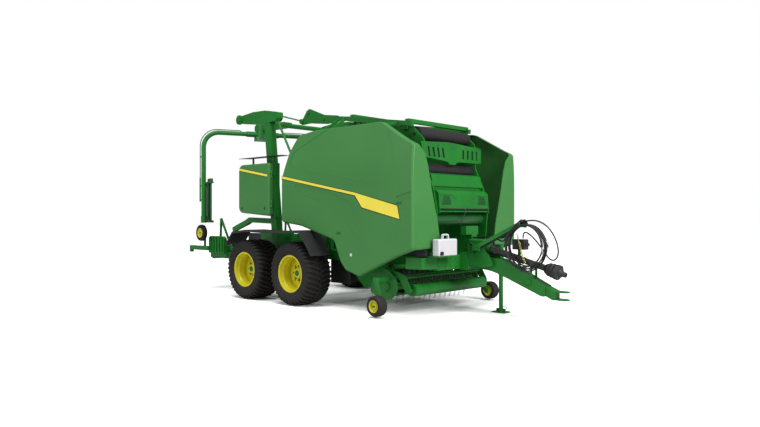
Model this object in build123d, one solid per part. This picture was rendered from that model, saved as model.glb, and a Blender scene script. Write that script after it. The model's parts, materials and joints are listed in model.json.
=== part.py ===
from build123d import *
import os
from math import cos, radians, sin, sqrt, tan

# Round baler with film wrapper, towed. Millimetres. X runs forward from the front axle of the
# tandem, Y to the left, Z up from the ground. At the end every node moves by the same distance,
# so that the origin lies under the middle of the machine.

# Running gear
TYRE_R = 510
TYRE_W = 500
LUG_H = 26
LUG_COUNT = 20
RIM_R = 296
RIM_DEPTH = 210
RIM_WALL = 9
HUB_R = 92
TRACK_HALF = 1230
AXLE_GAP = 1245
BEAM_Y = 850
BEAM_W = 110
BEAM_H = 150
SPINDLE_R = 32
GUARD_T = 9
GUARD_TOP_Z = 1195

# Side panels and covers
SIDE_Y = 1275
SKIN = 12
PANEL_LIP = 80
PANEL_TOP_Y = 1165
FRONT_X = 2430
HINGE_R = 14
BOX_REAR_X = -1680
BOX_FRONT_X = -785
BOX_LOW_Z = 1425
BOX_TOP_Z = 2330
BOX_CORNER = 110

# Bale chamber
WALL_Y = 640
WALL_T = 26
GATE_PIVOT_X = 600
GATE_PIVOT_Z = 2880
GATE_PIN_R = 30
GATE_SIDE_T = 20
SIDE_GAP = 8

# Front rollers and plates
TOP_ROLLER_X = 1920
TOP_ROLLER_Z = 2654
TOP_ROLLER_R = 105
NET_X = 2350
SLOT_X = 2130
SLOT_HALF_W = 745

# Water tank on the crossbeam
TANK_IN_Y = 480
TANK_OUT_Y = 900

# Drawbar and hitch
BAR_W = 170
JACK_X = 2806
JACK_Y = 300
JACK_R = 32
JACK_GAP = 0.4
FOOT_T = 14
CLEVIS_PIN_X = 4020
CLEVIS_BORE_R = 17
CLEVIS_Z = 368
CLEVIS_GAP = 84
HITCH_TIP_X = 4072

# Clearances: a piece rests on another with SEAT between them, a shaft turns in its bore with RUN
SEAT = 0.3
RUN = 0.4

# Pickup
REEL_X = 1690
REEL_Z = 395
REEL_HALF_W = 905
REEL_R = 120
TINE_R = 5
PICKUP_Y = 1010
WIND_X = 2070
WIND_Z = 360
WIND_R = 88
GAUGE_X = 1862
GAUGE_Y = 1383
GAUGE_R = 150
GAUGE_W = 150
GAUGE_CLEAR = 18

# Gantry, satellite and wrap table
POST_Y = 1000
POST_W = 130
POST_LOW_X = -900
POST_LOW_Z = 1050
POST_TOP_X = -1130
POST_TOP_Z = 3050
HEAD_X = -1930
HEAD_Z = POST_TOP_Z + 130
HUB_X = -2690
HUB_Z = HEAD_Z - 120
ARM_R = 44
ARM_REACH = 1180
ARM_BEND = 300
ARM_LOW_Z = 1290
PARK_ANGLE = 249.7
TABLE_Z = 800
TABLE_ROLLER_R = 90
TABLE_GAP = 900
TABLE_HALF_W = 620
REAR_END_X = -3750
SIDE_BEAM_END_X = -2230

ORIGIN_X = (HITCH_TIP_X + REAR_END_X) / 2


# Helpers for outlines, plates, rods and bars

def outline(points, radius=0):
    """Closed flat face through the points, its corners rounded by radius (one or one per corner)."""
    if radius:
        return make_face(FilletPolyline(*points, radius=radius, close=True))
    return make_face(Polyline(*points, close=True))


def plate_xz(points, y0, y1, radius=0):
    """Plate with an outline seen from the side, from y0 to y1."""
    face = outline(points, radius)
    plane = Plane(origin=(0, max(y0, y1), 0), x_dir=(1, 0, 0), z_dir=(0, -1, 0))
    return extrude(plane * face, amount=abs(y1 - y0))


def plate_yz(points, x0, x1, radius=0):
    """Plate with an outline seen from the front, from x0 to x1."""
    face = outline(points, radius)
    plane = Plane(origin=(min(x0, x1), 0, 0), x_dir=(0, 1, 0), z_dir=(1, 0, 0))
    return extrude(plane * face, amount=abs(x1 - x0))


def plate_xy(points, z0, z1, radius=0):
    """Plate with an outline seen from above, from z0 to z1."""
    return extrude(Pos(0, 0, min(z0, z1)) * outline(points, radius), amount=abs(z1 - z0))


def block(x0, x1, y0, y1, z0, z1):
    """Box between six planes."""
    centre = ((x0 + x1) / 2, (y0 + y1) / 2, (z0 + z1) / 2)
    return Pos(*centre) * Box(abs(x1 - x0), abs(y1 - y0), abs(z1 - z0))


def axis_plane(start, end, up=(0, 0, 1)):
    """Plane at start whose normal points to end and whose local Y is as near up as it can be."""
    normal = (Vector(*end) - Vector(*start)).normalized()
    side = Vector(*up).cross(normal)
    if side.length < 0.01:
        side = Vector(0, 1, 0).cross(normal)
    return Plane(origin=start, x_dir=side.normalized(), z_dir=normal)


def span(start, end):
    return (Vector(*end) - Vector(*start)).length


def rod(start, end, radius, bore=0):
    """Round bar or tube between two points."""
    face = Circle(radius)
    if bore:
        face = face - Circle(bore)
    return extrude(axis_plane(start, end) * face, amount=span(start, end))


def bar(start, end, width, height, wall=0, up=(0, 0, 1)):
    """Rectangular bar or hollow section between two points."""
    face = Rectangle(width, height)
    if wall:
        face = face - Rectangle(width - 2 * wall, height - 2 * wall)
    return extrude(axis_plane(start, end, up) * face, amount=span(start, end))


def roll(x, z, radius, y0, y1):
    """Cylinder across the machine."""
    return rod((x, min(y0, y1), z), (x, max(y0, y1), z), radius)


def turned(profile):
    """Solid turned about the Y axis from points (radius, y)."""
    face = Plane.XY * outline(profile)
    return revolve(face, axis=Axis.Y)


def joined(shapes):
    """One fused shape from a list."""
    total = shapes[0]
    for shape in shapes[1:]:
        total = total + shape
    return total


def other_side(shape):
    """The same piece on the left side, mirrored in the middle plane."""
    return mirror(shape, about=Plane.XZ)


nodes = {}


def keep(name, shape):
    nodes[name] = shape


def keep_pair(name, right_shape):
    """A right-hand piece and its mirrored left-hand twin."""
    nodes[name + "_right"] = right_shape
    nodes[name + "_left"] = other_side(right_shape)


# Wheels, modelled about the origin with the outer side towards -Y

def tyre():
    half = TYRE_W / 2
    body_r = TYRE_R - LUG_H
    seat = RIM_R - 12
    section = [
        (seat, -half + 40), (seat + 18, -half + 40), (seat + 60, -half + 6), (body_r - 75, -half + 2), (body_r - 22, -half + 22),
        (body_r, -half + 75), (body_r, half - 75), (body_r - 22, half - 22), (body_r - 75, half - 2),
        (seat + 60, half - 6), (seat + 18, half - 40), (seat, half - 40)]
    body = turned(section)
    lugs = []
    for side in (-1, 1):
        for index in range(LUG_COUNT):
            angle = 360 / LUG_COUNT * (index + (0.5 if side > 0 else 0))
            lug = Pos(TYRE_R - 55, side * (half - 118), 0) * Rot(side * 24, 0, 0) * Box(110, 222, 52)
            lugs.append(Rot(0, angle, 0) * lug)
    envelope = turned([(200, -half), (TYRE_R - 60, -half), (TYRE_R - 12, -half + 24), (TYRE_R, -half + 70),
                       (TYRE_R, half - 70), (TYRE_R - 12, half - 24), (TYRE_R - 60, half), (200, half)])
    tread = [lug & envelope for lug in lugs]
    return body + tread


def rim():
    """Deep rim: flange, well, and a dished disc with hand holes, as one pressed wheel."""
    half = TYRE_W / 2
    seat = RIM_R - 12
    lip = RIM_R + 2
    outer = -half + 39
    profile = [
        (seat - 0.3, outer), (lip, outer), (lip, outer - 9), (seat - RIM_WALL, outer - 9),
        (seat - RIM_WALL - 6, outer + 40), (seat - 30, outer + 70), (seat - 34, outer + 150),
        (seat - 20, outer + RIM_DEPTH), (120, outer + RIM_DEPTH - 24), (HUB_R + 0.5, outer + RIM_DEPTH - 24),
        (HUB_R + 0.5, outer + RIM_DEPTH - 12), (120, outer + RIM_DEPTH - 12),
        (seat - 22, outer + RIM_DEPTH + 14), (seat - 9, half - 30), (lip, half - 30), (lip, half - 39),
        (seat - 0.3, half - 39)]
    wheel = turned(profile)
    for index in range(8):
        hole = Rot(0, 360 / 8 * index, 0) * (Pos(160, outer + RIM_DEPTH, 0) * Rot(90, 0, 0) * Cylinder(17, 80))
        wheel = wheel - hole
    return wheel


def hub():
    """Hub cap and flange, bored for the spindle, with wheel studs."""
    half = TYRE_W / 2
    outer = -half + 39
    flange_y = outer + RIM_DEPTH - 12
    profile = [
        (SPINDLE_R + 0.5, flange_y - 40), (SPINDLE_R + 0.5, half - 60), (70, half - 60), (80, flange_y + 20),
        (HUB_R + 40, flange_y + 12), (HUB_R + 40, flange_y - 1), (HUB_R + 1, flange_y - 1),
        (HUB_R + 1, flange_y - 30), (70, flange_y - 62), (0, flange_y - 62), (0, flange_y - 40)]
    body = turned(profile)
    for index in range(8):
        stud = Pos(0, flange_y - 22, 0) * Rot(90, 0, 0) * Cylinder(9, 28)
        body = body + Rot(0, 360 / 8 * index, 0) * (Pos(112, 0, 0) * stud)
    return body


def wheels():
    tyre_shape = tyre()
    wheel_shape = rim() + hub()
    for name, x in (("front", 0), ("rear", -AXLE_GAP)):
        place = Pos(x, -TRACK_HALF, TYRE_R)
        keep_pair("tyre_" + name, place * tyre_shape)
        keep_pair("rim_" + name, place * wheel_shape)


# Chassis: rails, tandem beams, mudguards

RAIL_Y = 730
RAIL_W = 80
RAIL_H = 150
RAIL_Z = 790
RAIL_REAR_X = -2080
RAIL_FRONT_X = 2234.7
PIVOT_X = -AXLE_GAP / 2
PICKUP_PIVOT = (1480, 650)
PIVOT_TUBE_R = 40
HANGER_Y = 694
HANGER_T = 36
# Plates that close the wheel arch behind the tyres: from, to, top
ARCH_SHIELDS = ((-1700, POST_LOW_X - 96, 1120), (POST_LOW_X - 97, POST_LOW_X + 86, POST_LOW_Z - 10),
                (POST_LOW_X + 85, 130, 1120))


def main_frame():
    """Two long rails, cross tubes and the saddles of the tandem pivots."""
    rails = [bar((RAIL_REAR_X, side * RAIL_Y, RAIL_Z), (RAIL_FRONT_X, side * RAIL_Y, RAIL_Z), RAIL_W, RAIL_H)
             for side in (-1, 1)]
    inner = RAIL_Y - RAIL_W / 2
    crosses = [bar((x, -inner, RAIL_Z), (x, inner, RAIL_Z), 90, 90) for x in (RAIL_REAR_X + 60, 2150)]
    pivot = [rod((PIVOT_X, -inner, RAIL_Z - 20), (PIVOT_X, inner, RAIL_Z - 20), 52)]
    saddles = [plate_xz([(PIVOT_X - 170, RAIL_Z - RAIL_H / 2), (PIVOT_X - 70, TYRE_R - 20),
                         (PIVOT_X + 70, TYRE_R - 20), (PIVOT_X + 170, RAIL_Z - RAIL_H / 2)],
                        side * (RAIL_Y - 30), side * (RAIL_Y + 30), [10, 60, 60, 10]) for side in (-1, 1)]
    shields = [block(x0, x1, side * (RAIL_Y + RAIL_W / 2 - 2), side * (RAIL_Y + RAIL_W / 2 + 8), RAIL_Z, high)
               for side in (-1, 1) for x0, x1, high in ARCH_SHIELDS]
    return joined(rails + crosses + pivot + saddles + shields)


def pickup_hanger():
    """Right hanger plate under the rail, bored for the pickup's pivot tube."""
    px, pz = PICKUP_PIVOT
    rail_low = RAIL_Z - RAIL_H / 2 - SEAT
    plate = plate_xz([(px - 80, rail_low), (px - 55, pz - 25), (px - 10, pz - 50), (px + 25, pz - 38),
                      (px + 65, pz + 10), (px + 80, rail_low)], -HANGER_Y, -HANGER_Y - HANGER_T,
                     [2, 30, 20, 20, 30, 2])
    return plate - roll(px, pz, PIVOT_TUBE_R + RUN, -HANGER_Y + 60, -HANGER_Y - 80)


def axle_beam():
    """Right tandem beam with its pivot boss and the two spindles."""
    inner = -BEAM_Y + BEAM_W / 2
    outer = -BEAM_Y - BEAM_W / 2
    body = plate_xz([(-AXLE_GAP - 110, TYRE_R - 62), (PIVOT_X - 160, TYRE_R - BEAM_H / 2),
                     (PIVOT_X + 160, TYRE_R - BEAM_H / 2), (110, TYRE_R - 62), (110, TYRE_R + 62),
                     (PIVOT_X + 120, TYRE_R + BEAM_H), (PIVOT_X - 120, TYRE_R + BEAM_H),
                     (-AXLE_GAP - 110, TYRE_R + 62)], inner, outer, [55, 60, 60, 55, 55, 60, 60, 55])
    boss = roll(PIVOT_X, TYRE_R + 30, 62, -RAIL_Y - 30 - SEAT, inner)
    tip = -TRACK_HALF - 40
    shape = body + boss
    for x in (0, -AXLE_GAP):
        shape = shape + roll(x, TYRE_R, SPINDLE_R, tip, outer)
        shape = shape + roll(x, TYRE_R, 60, outer - 60, outer)
    return shape


def guard_path():
    top = GUARD_TOP_Z
    rear = -AXLE_GAP
    return [(rear - 540, 930), (rear - 330, top - 40), (rear + 60, top), (PIVOT_X - 120, top - 10),
            (PIVOT_X + 120, top - 10), (40, top + 8), (270, top), (545, 815)]


def guard_z(x):
    """Height of the mudguard's top surface at x."""
    path = guard_path()
    for (x0, z0), (x1, z1) in zip(path, path[1:]):
        if x0 <= x <= x1:
            return z0 + (z1 - z0) * (x - x0) / (x1 - x0)
    return path[0][1]


def mudguard():
    """Double mudguard: one pressed sheet over both tyres, a lip outside, a flap in front, three stays."""
    path = guard_path()
    lower = [(x, z - GUARD_T) for x, z in reversed(path)]
    lower[0] = (path[-1][0] - GUARD_T - 2, path[-1][1])
    lower[-1] = (path[0][0] + GUARD_T + 2, path[0][1])
    outer = -TRACK_HALF - TYRE_W / 2
    inner = -TRACK_HALF + TYRE_W / 2 - 100
    sheet = plate_xz(path + lower, outer, inner)
    lip = plate_xz(path + [(x, z - 38) for x, z in reversed(path[:-1])], outer, outer + 8)
    return sheet + lip


def mudguard_stay():
    """Stays from the rail out to the sheet."""
    stays = []
    for x in (-AXLE_GAP + 40, PIVOT_X, 60):
        z = min(guard_z(x - 25), guard_z(x + 25)) - GUARD_T - SEAT - 15
        stays.append(bar((x, -RAIL_Y, z), (x, -TRACK_HALF - 100, z), 50, 30))
        stays.append(bar((x, -RAIL_Y, RAIL_Z + 40), (x, -RAIL_Y, z + 15), 50, 40, up=(1, 0, 0)))
    return stays


# Side panels that hinge along the top

PANEL_OUTLINE = [
    (-451, 1329), (-451, 2058), (-293, 2478), (-111, 2742), (290, 2796), (1740, 2800), (2277, 2498),
    (FRONT_X, 2425), (FRONT_X, 972), (2110, 865), (1370, 544), (1090, 620), (975, 745), (830, 1066),
    (40, 1270)]
PANEL_RADII = [70, 220, 300, 120, 400, 260, 90, 60, 60, 80, 60, 70, 120, 110, 300]
LEAN_START_Z = 1900
PANEL_TOP_Z = 2830
CREASE_R = 34
PANEL_AXIS_Y = -1062
PANEL_AXIS_Z = 2768


def skin_section(inset):
    """Section across the panel seen from the front: upright below, leaning in by an arc above."""
    low = (-SIDE_Y + inset, 300)
    bend = (-SIDE_Y + inset, LEAN_START_Z)
    top = (-PANEL_TOP_Y + inset, PANEL_TOP_Z)
    side = Line(low, bend)
    lean = TangentArc(bend, top, tangent=(0, 1))
    closing = Polyline(top, (-500, PANEL_TOP_Z), (-500, 300), low)
    return make_face(side + lean + closing)


def skin_prism(inset):
    plane = Plane(origin=(-800, 0, 0), x_dir=(0, 1, 0), z_dir=(1, 0, 0))
    return extrude(plane * skin_section(inset), amount=4000)


def skin_band(depth):
    """Layer of the given depth under the panel's outer surface."""
    return skin_prism(0) - skin_prism(depth)


def panel_core(inset):
    """Filled panel inside the outline, pulled in by inset, with its front upright edge rounded."""
    face = outline(PANEL_OUTLINE, PANEL_RADII)
    if inset:
        face = offset(face, amount=-inset, kind=Kind.INTERSECTION)
    plane = Plane(origin=(0, -500, 0), x_dir=(1, 0, 0), z_dir=(0, -1, 0))
    body = extrude(plane * face, amount=900) & skin_prism(inset)
    front = FRONT_X - inset
    edge_y = -SIDE_Y + inset
    crease = [edge for edge in body.edges()
              if abs(edge.center().X - front) < 2 and abs(edge.center().Y - edge_y) < 2
              and edge.bounding_box().size.Z > 700]
    return fillet(crease, CREASE_R - inset)


FLANGE = [(-1300, 960), (-700, 985), (-680, 1090), (-720, 1320), (-860, 1800), (-945, 2150),
          (-1010, 2310), (-1215, 2500), (-1300, 2500)]
BROW = [(700, 2830), (1745, 2830), (1905, 2690), (2010, 2470), (2080, 2230), (2050, 2060),
        (1880, 1930), (1560, 1900), (960, 2010), (120, 2140), (-300, 2230), (-150, 2480)]
SWOOSH = [(-300, 1985), (700, 1815), (1180, 1660), (1330, 1470), (1440, 1180), (1500, 1010),
          (1330, 1090), (1150, 1330), (920, 1520), (500, 1660), (100, 1780)]
EYE = [(2120, 1712), (2290, 1748), (2402, 1776), (2402, 1700), (2300, 1664), (2160, 1668)]
RECESS = 5
EYE_DEPTH = 8


def side_panel():
    """Right side panel: one moulded skin with turned-in edges, front flange and shallow recesses."""
    shell = panel_core(0) - panel_core(SKIN)
    flange = plate_yz(FLANGE, FRONT_X - 160, FRONT_X + 10, [10, 20, 40, 60, 60, 60, 60, 20, 10])
    panel = shell & (skin_band(PANEL_LIP) + (flange & block(FRONT_X - 100, FRONT_X + 20, -1400, -500, 500, 2900)))
    groove = skin_band(RECESS)
    for points, radius in ((BROW, 60), (SWOOSH, 40)):
        cut = plate_xz(points, -1400, -600, radius)
        panel = panel - (cut & groove)
    panel = panel - (plate_xz(EYE, -1400, -600, 14) & skin_band(EYE_DEPTH))
    for x in (420, 1560):
        knuckle = rod((x - 60, PANEL_AXIS_Y, PANEL_AXIS_Z), (x + 60, PANEL_AXIS_Y, PANEL_AXIS_Z),
                      HINGE_R + 8, HINGE_R + 0.4)
        web = block(x - 60, x + 60, PANEL_AXIS_Y - 60, PANEL_AXIS_Y - HINGE_R - 4, PANEL_AXIS_Z - 7,
                    PANEL_AXIS_Z + 7)
        rise = block(x - 60, x + 60, PANEL_AXIS_Y - 72, PANEL_AXIS_Y - 54, PANEL_AXIS_Z - 7, PANEL_TOP_Z - 40)
        panel = panel + knuckle + web + rise
    return panel


# Storage boxes behind the panels, with covers that swing open about their front edge

COVER_DEPTH = 185
COVER_AXIS_X = BOX_FRONT_X + 22
COVER_AXIS_Y = -SIDE_Y + 38
COVER_ARM_Z = (1640, 2140)


def cover_core(inset):
    low = BOX_LOW_Z + inset
    high = BOX_TOP_Z - inset
    rear = BOX_REAR_X + inset
    front = BOX_FRONT_X - inset
    corner = BOX_CORNER - inset
    face = outline([(rear, low + 60), (rear, high), (front, high), (front, low)],
                   [corner, corner, 45 - inset, 45 - inset])
    depth = COVER_DEPTH - inset if inset else COVER_DEPTH
    plane = Plane(origin=(0, -SIDE_Y + COVER_DEPTH, 0), x_dir=(1, 0, 0), z_dir=(0, -1, 0))
    body = extrude(plane * face, amount=depth)
    rim_edges = body.faces().sort_by(Axis.Y)[0].edges()
    return fillet(rim_edges, 34 - inset)


def film_cover():
    """Right storage cover: a deep moulded tray open to the inside, with two hinge knuckles."""
    cover = cover_core(0) - cover_core(SKIN - 2)
    for z in COVER_ARM_Z:
        for step in (-1, 1):
            centre_z = z + step * 42
            knuckle = rod((COVER_AXIS_X, COVER_AXIS_Y, centre_z - 20), (COVER_AXIS_X, COVER_AXIS_Y, centre_z + 20),
                          13, 8.4)
            ear = block(BOX_FRONT_X - 5, COVER_AXIS_X - 10, COVER_AXIS_Y - 8, COVER_AXIS_Y + 8,
                        centre_z - 20, centre_z + 20)
            cover = cover + knuckle + ear
    return cover


def film_rack():
    """Fixed back of the right storage box: plate, shelf, roll pegs and the hinge arms with their pins."""
    back = -SIDE_Y + COVER_DEPTH + 12
    plate = block(BOX_REAR_X + 40, BOX_FRONT_X - 20, back, back + 8, BOX_LOW_Z + 70, BOX_TOP_Z - 30)
    shelf = block(BOX_REAR_X + 60, BOX_FRONT_X - 240, back - 150, back + 8, BOX_LOW_Z + 90, BOX_LOW_Z + 98)
    parts = [plate, shelf]
    for x in (BOX_REAR_X + 200, BOX_REAR_X + 470):
        parts.append(rod((x, back - 75, BOX_LOW_Z + 98), (x, back - 75, BOX_LOW_Z + 260), 34))
    parts.append(block(COVER_AXIS_X, COVER_AXIS_X + 12, COVER_AXIS_Y + 52, back + 8, BOX_LOW_Z, BOX_TOP_Z))
    parts.append(block(BOX_FRONT_X - 60, COVER_AXIS_X + 12, back, back + 8, BOX_LOW_Z + 40, BOX_TOP_Z - 30))
    for z in (1700, 2200):
        post_x = POST_LOW_X + (POST_TOP_X - POST_LOW_X) * (z - POST_LOW_Z) / (POST_TOP_Z + 60 - POST_LOW_Z)
        parts.append(block(post_x - 50, post_x + 50, back + 7, -POST_Y - POST_W / 2 - SEAT, z - 40, z + 40))
    for z in COVER_ARM_Z:
        parts.append(block(BOX_FRONT_X - 60, COVER_AXIS_X + 12, back - 1, back + 8, z - 18, z + 18))
        parts.append(block(COVER_AXIS_X - 12, COVER_AXIS_X + 12, COVER_AXIS_Y, back + 8, z - 18, z + 18))
        parts.append(rod((COVER_AXIS_X, COVER_AXIS_Y, z - 64), (COVER_AXIS_X, COVER_AXIS_Y, z + 64), 8))
        parts.append(rod((COVER_AXIS_X, COVER_AXIS_Y, z - 18), (COVER_AXIS_X, COVER_AXIS_Y, z + 18), 12))
    return joined(parts)


def top_sheet():
    """Thin black sheet that roofs the right storage box, on two short feet to the post side."""
    low = 2440
    sheet = plate_xy([(-1690, -1262), (-470, -1262), (-470, -1085), (-1560, -1085)], low, low + 6)
    feet = [block(x - 20, x + 20, -1086, -1070, BOX_TOP_Z - 60, low) for x in (-1500, -880)]
    return sheet, feet


# Bale chamber: fixed front half with its walls, top frame and cross members

TOP_FRAME = ((650, 2965), (1900, 2775))
INTAKE = [(590, 880), (640, 470), (820, 310), (1180, 285), (1330, 440), (1330, 880)]


def chamber_walls():
    walls = []
    points = [(575, 850), (2170, 842), (2300, 1040), (2340, 1500), (2270, 1840), (2108, 2190), (2098, 2560),
              (1905, 2745), (640, 2945), (540, 2945), (548, 2800), (575, 2700)]
    radii = [20, 80, 200, 300, 200, 150, 100, 40, 30, 30, 15, 15]
    for side in (-1, 1):
        wall = plate_xz(points, side * (WALL_Y - WALL_T), side * WALL_Y, radii)
        ear = roll(GATE_PIVOT_X, GATE_PIVOT_Z, GATE_PIN_R, side * (WALL_Y - WALL_T),
                   side * (WALL_Y + SIDE_GAP + GATE_SIDE_T + 14))
        foot = block(640, 2050, side * (WALL_Y - WALL_T), side * (RAIL_Y - RAIL_W / 2), RAIL_Z + 10, RAIL_Z + 66)
        walls = walls + [wall, ear, foot]
    inner = WALL_Y - WALL_T
    ties = [roll(x, z, 38, -inner, inner) for x, z in ((690, 2850), (1560, 2740), (1500, 960))]
    ribs = []
    for side in (-1, 1):
        rib_y = side * WALL_Y
        ribs.append(block(1180, 1230, rib_y, rib_y + side * 34, 940, 2760))
        ribs.append(block(640, 2200, rib_y, rib_y + side * 34, 1300, 1350))
    return joined(walls + ties + ribs)


def intake_housing():
    """Closed housing of the feed rotor, held between the chamber walls."""
    half = WALL_Y - WALL_T - SEAT
    return plate_xz(INTAKE, -half, half, [10, 120, 160, 120, 60, 10])


def top_frame():
    """Two beams along the top with cross beams, and the hinge arms of the side panels."""
    (x0, z0), (x1, z1) = TOP_FRAME
    parts = []
    for side in (-1, 1):
        y = side * (WALL_Y + 62)
        parts.append(bar((x0 - 60, y, z0 + 20), (x1 + 40, y, z1 + 20), 56, 70))
    lift = 60
    for share in (0.02, 0.96):
        x = x0 + (x1 - x0) * share
        z = z0 + (z1 - z0) * share + lift
        parts.append(bar((x, -WALL_Y - 90, z), (x, WALL_Y + 90, z), 80, 60))
    for side in (-1, 1):
        for x in (420, 1560):
            share = (x - x0) / (x1 - x0)
            beam_z = z0 + (z1 - z0) * share + 20
            arm_end = (x, side * (-PANEL_AXIS_Y), PANEL_AXIS_Z)
            for step in (-1, 1):
                tip = (x + step * 78, side * -PANEL_AXIS_Y, PANEL_AXIS_Z)
                root = (x + step * 78, side * (WALL_Y + 40), beam_z)
                parts.append(bar(tip, root, 26, 44))
            parts.append(rod((x - 90, arm_end[1], PANEL_AXIS_Z), (x + 90, arm_end[1], PANEL_AXIS_Z), HINGE_R))
        parts.append(bar((330, side * (WALL_Y + 62), z0 + 60), (x0 + 20, side * (WALL_Y + 62), z0 + 20), 56, 70))
    for side in (-1, 1):
        for x in (800, 1750):
            share = (x - x0) / (x1 - x0)
            z = z0 + (z1 - z0) * share
            parts.append(block(x - 40, x + 40, side * (WALL_Y + 0.3), side * (WALL_Y + 64), z - 70, z + 10))
    return joined(parts)


GATE_OUTLINE = [(660, 2935), (545, 2935), (470, 2780), (-250, 2560), (-440, 1950), (-330, 1290), (90, 900),
                (560, 856), (567, 2700), (660, 2825)]
GATE_RADII = [40, 40, 60, 330, 500, 420, 300, 10, 60, 30]


def tailgate():
    """Rear half of the chamber: two side plates with pivot ears, a curved skin, ribs and three rollers."""
    inner = WALL_Y + SIDE_GAP
    outer = inner + GATE_SIDE_T
    parts = []
    for side in (-1, 1):
        plate = plate_xz(GATE_OUTLINE, side * inner, side * outer, GATE_RADII)
        plate = plate - roll(GATE_PIVOT_X, GATE_PIVOT_Z, GATE_PIN_R + 0.5, side * (inner - 5), side * (outer + 5))
        parts.append(plate)
    face = outline(GATE_OUTLINE, GATE_RADII)
    thin = offset(face, amount=-10, kind=Kind.INTERSECTION)
    plane = Plane(origin=(0, inner, 0), x_dir=(1, 0, 0), z_dir=(0, -1, 0))
    ring = extrude(plane * (face - thin), amount=2 * inner)
    skin = ring & block(-600, 330, -inner, inner, 980, 2760)
    parts.append(skin)
    for x, z in ((-438, 1960), (-330, 1320), (-215, 2540)):
        parts.append(block(x - 38, x + 22, -inner, inner, z - 30, z + 30))
    for x, z, radius in ((-250, 1990, 95), (-40, 1330, 95), (330, 1010, 95)):
        parts.append(roll(x, z, radius, -inner, inner))
    return joined(parts)


# Front of the machine between the panels

def front_plates():
    """Slotted guard, cover plate, end guards of the top roller and the beam over it."""
    guard = [(-SLOT_HALF_W, 2520), (-SLOT_HALF_W + 60, 2300), (-190, 2262), (-110, 2250), (-70, 2215),
             (70, 2215), (110, 2250), (190, 2262), (SLOT_HALF_W - 20, 2262), (SLOT_HALF_W, 2290),
             (SLOT_HALF_W, 2500), (120, 2540), (-120, 2548)]
    plate = plate_yz(guard, SLOT_X - 10, SLOT_X, [20, 30, 80, 30, 30, 30, 30, 80, 20, 15, 30, 200, 200])
    for index in range(4):
        right = -600 + index * 112
        left = 250 + index * 118
        slanted = [(right, 2455), (right + 34, 2310), (right + 78, 2310), (right + 44, 2455)]
        upright = [(left, 2455), (left, 2310), (left + 46, 2310), (left + 46, 2455)]
        plate = plate - plate_yz(slanted, SLOT_X - 30, SLOT_X + 30, 10)
        plate = plate - plate_yz(upright, SLOT_X - 30, SLOT_X + 30, 10)
    lip = block(SLOT_X - 18, SLOT_X - 4, -SLOT_HALF_W + 40, SLOT_HALF_W - 40, 2512, 2521)
    parts = [plate, lip]
    for side in (-1, 1):
        parts.append(block(2060, SLOT_X - 4, side * (WALL_Y + 0.3), side * (WALL_Y + 60), 2330, 2505))
    return joined(parts)


ROLLER_SHAFT_R = 24


def top_roller():
    """Upper belt roller with its shaft ends."""
    half = WALL_Y - WALL_T - 6
    drum = roll(TOP_ROLLER_X, TOP_ROLLER_Z, TOP_ROLLER_R, -half, half)
    shaft = roll(TOP_ROLLER_X, TOP_ROLLER_Z, ROLLER_SHAFT_R, -WALL_Y - 18, WALL_Y + 18)
    return drum + shaft


def front_roller(x, z, radius):
    half = WALL_Y - WALL_T - 6
    return roll(x, z, radius, -half, half) + roll(x, z, ROLLER_SHAFT_R, -WALL_Y - 18, WALL_Y + 18)


FRONT_ROLLERS = {"roller_middle": (1985, 2130, 92), "roller_lower": (2190, 1385, 88)}


def bored_for_rollers(shape):
    """Clearance bores through the chamber walls for the roller shafts."""
    seats = list(FRONT_ROLLERS.values()) + [(TOP_ROLLER_X, TOP_ROLLER_Z, TOP_ROLLER_R)]
    for x, z, _ in seats:
        shape = shape - roll(x, z, ROLLER_SHAFT_R + 0.4, -WALL_Y - 60, WALL_Y + 60)
    return shape


def net_box():
    """Net binding box: slanted housing with front face, cover plate above and the bar below."""
    half = WALL_Y - WALL_T - 0.3
    section = [(2120, 1560), (2330, 1520), (NET_X + 20, 1545), (NET_X, 1770), (2300, 1810), (2150, 1850)]
    housing = plate_xz(section, -half, half, [20, 20, 14, 30, 20, 20])
    cover = plate_xz([(2190, 1880), (2246, 1872), (2212, 2042), (2120, 2070), (2118, 2056), (2196, 2032)],
                     -half, half)
    strut = plate_xz([(2150, 1840), (2215, 1832), (2215, 1890), (2150, 1890)], -half, half)
    bar_rod = rod((2352, -half, 1500), (2352, half, 1500), 13)
    ends = [plate_xz([(2280, 1470), (2375, 1470), (2375, 1560), (2280, 1570)], side * half, side * (half - 12), 12)
            for side in (-1, 1)]
    return joined([housing, cover, strut, bar_rod] + ends)


def crossbeam():
    """Front crossbeam with ends that slope back, and the bracket of the water tank."""
    low = 655
    high = 865
    middle = block(2235, 2400, -700, 700, low, high)
    parts = [middle]
    for side in (-1, 1):
        wing = [(2235, side * 690), (2400, side * 690), (2330, side * 960), (2090, side * 1030),
                (2060, side * 960), (2235, side * 775)]
        parts.append(plate_xy(wing, low + 25, high - 45))
        parts.append(plate_xy(wing[1:4] + [(2240, side * 775), (2240, side * 690)], high - 46, high - 20))
    console = block(2400, 2520, -170, 170, 640, 900)
    pad = block(2396, 2600, -TANK_OUT_Y - 10, -TANK_IN_Y + 10, 858, 870)
    return joined(parts + [console, pad])


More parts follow.
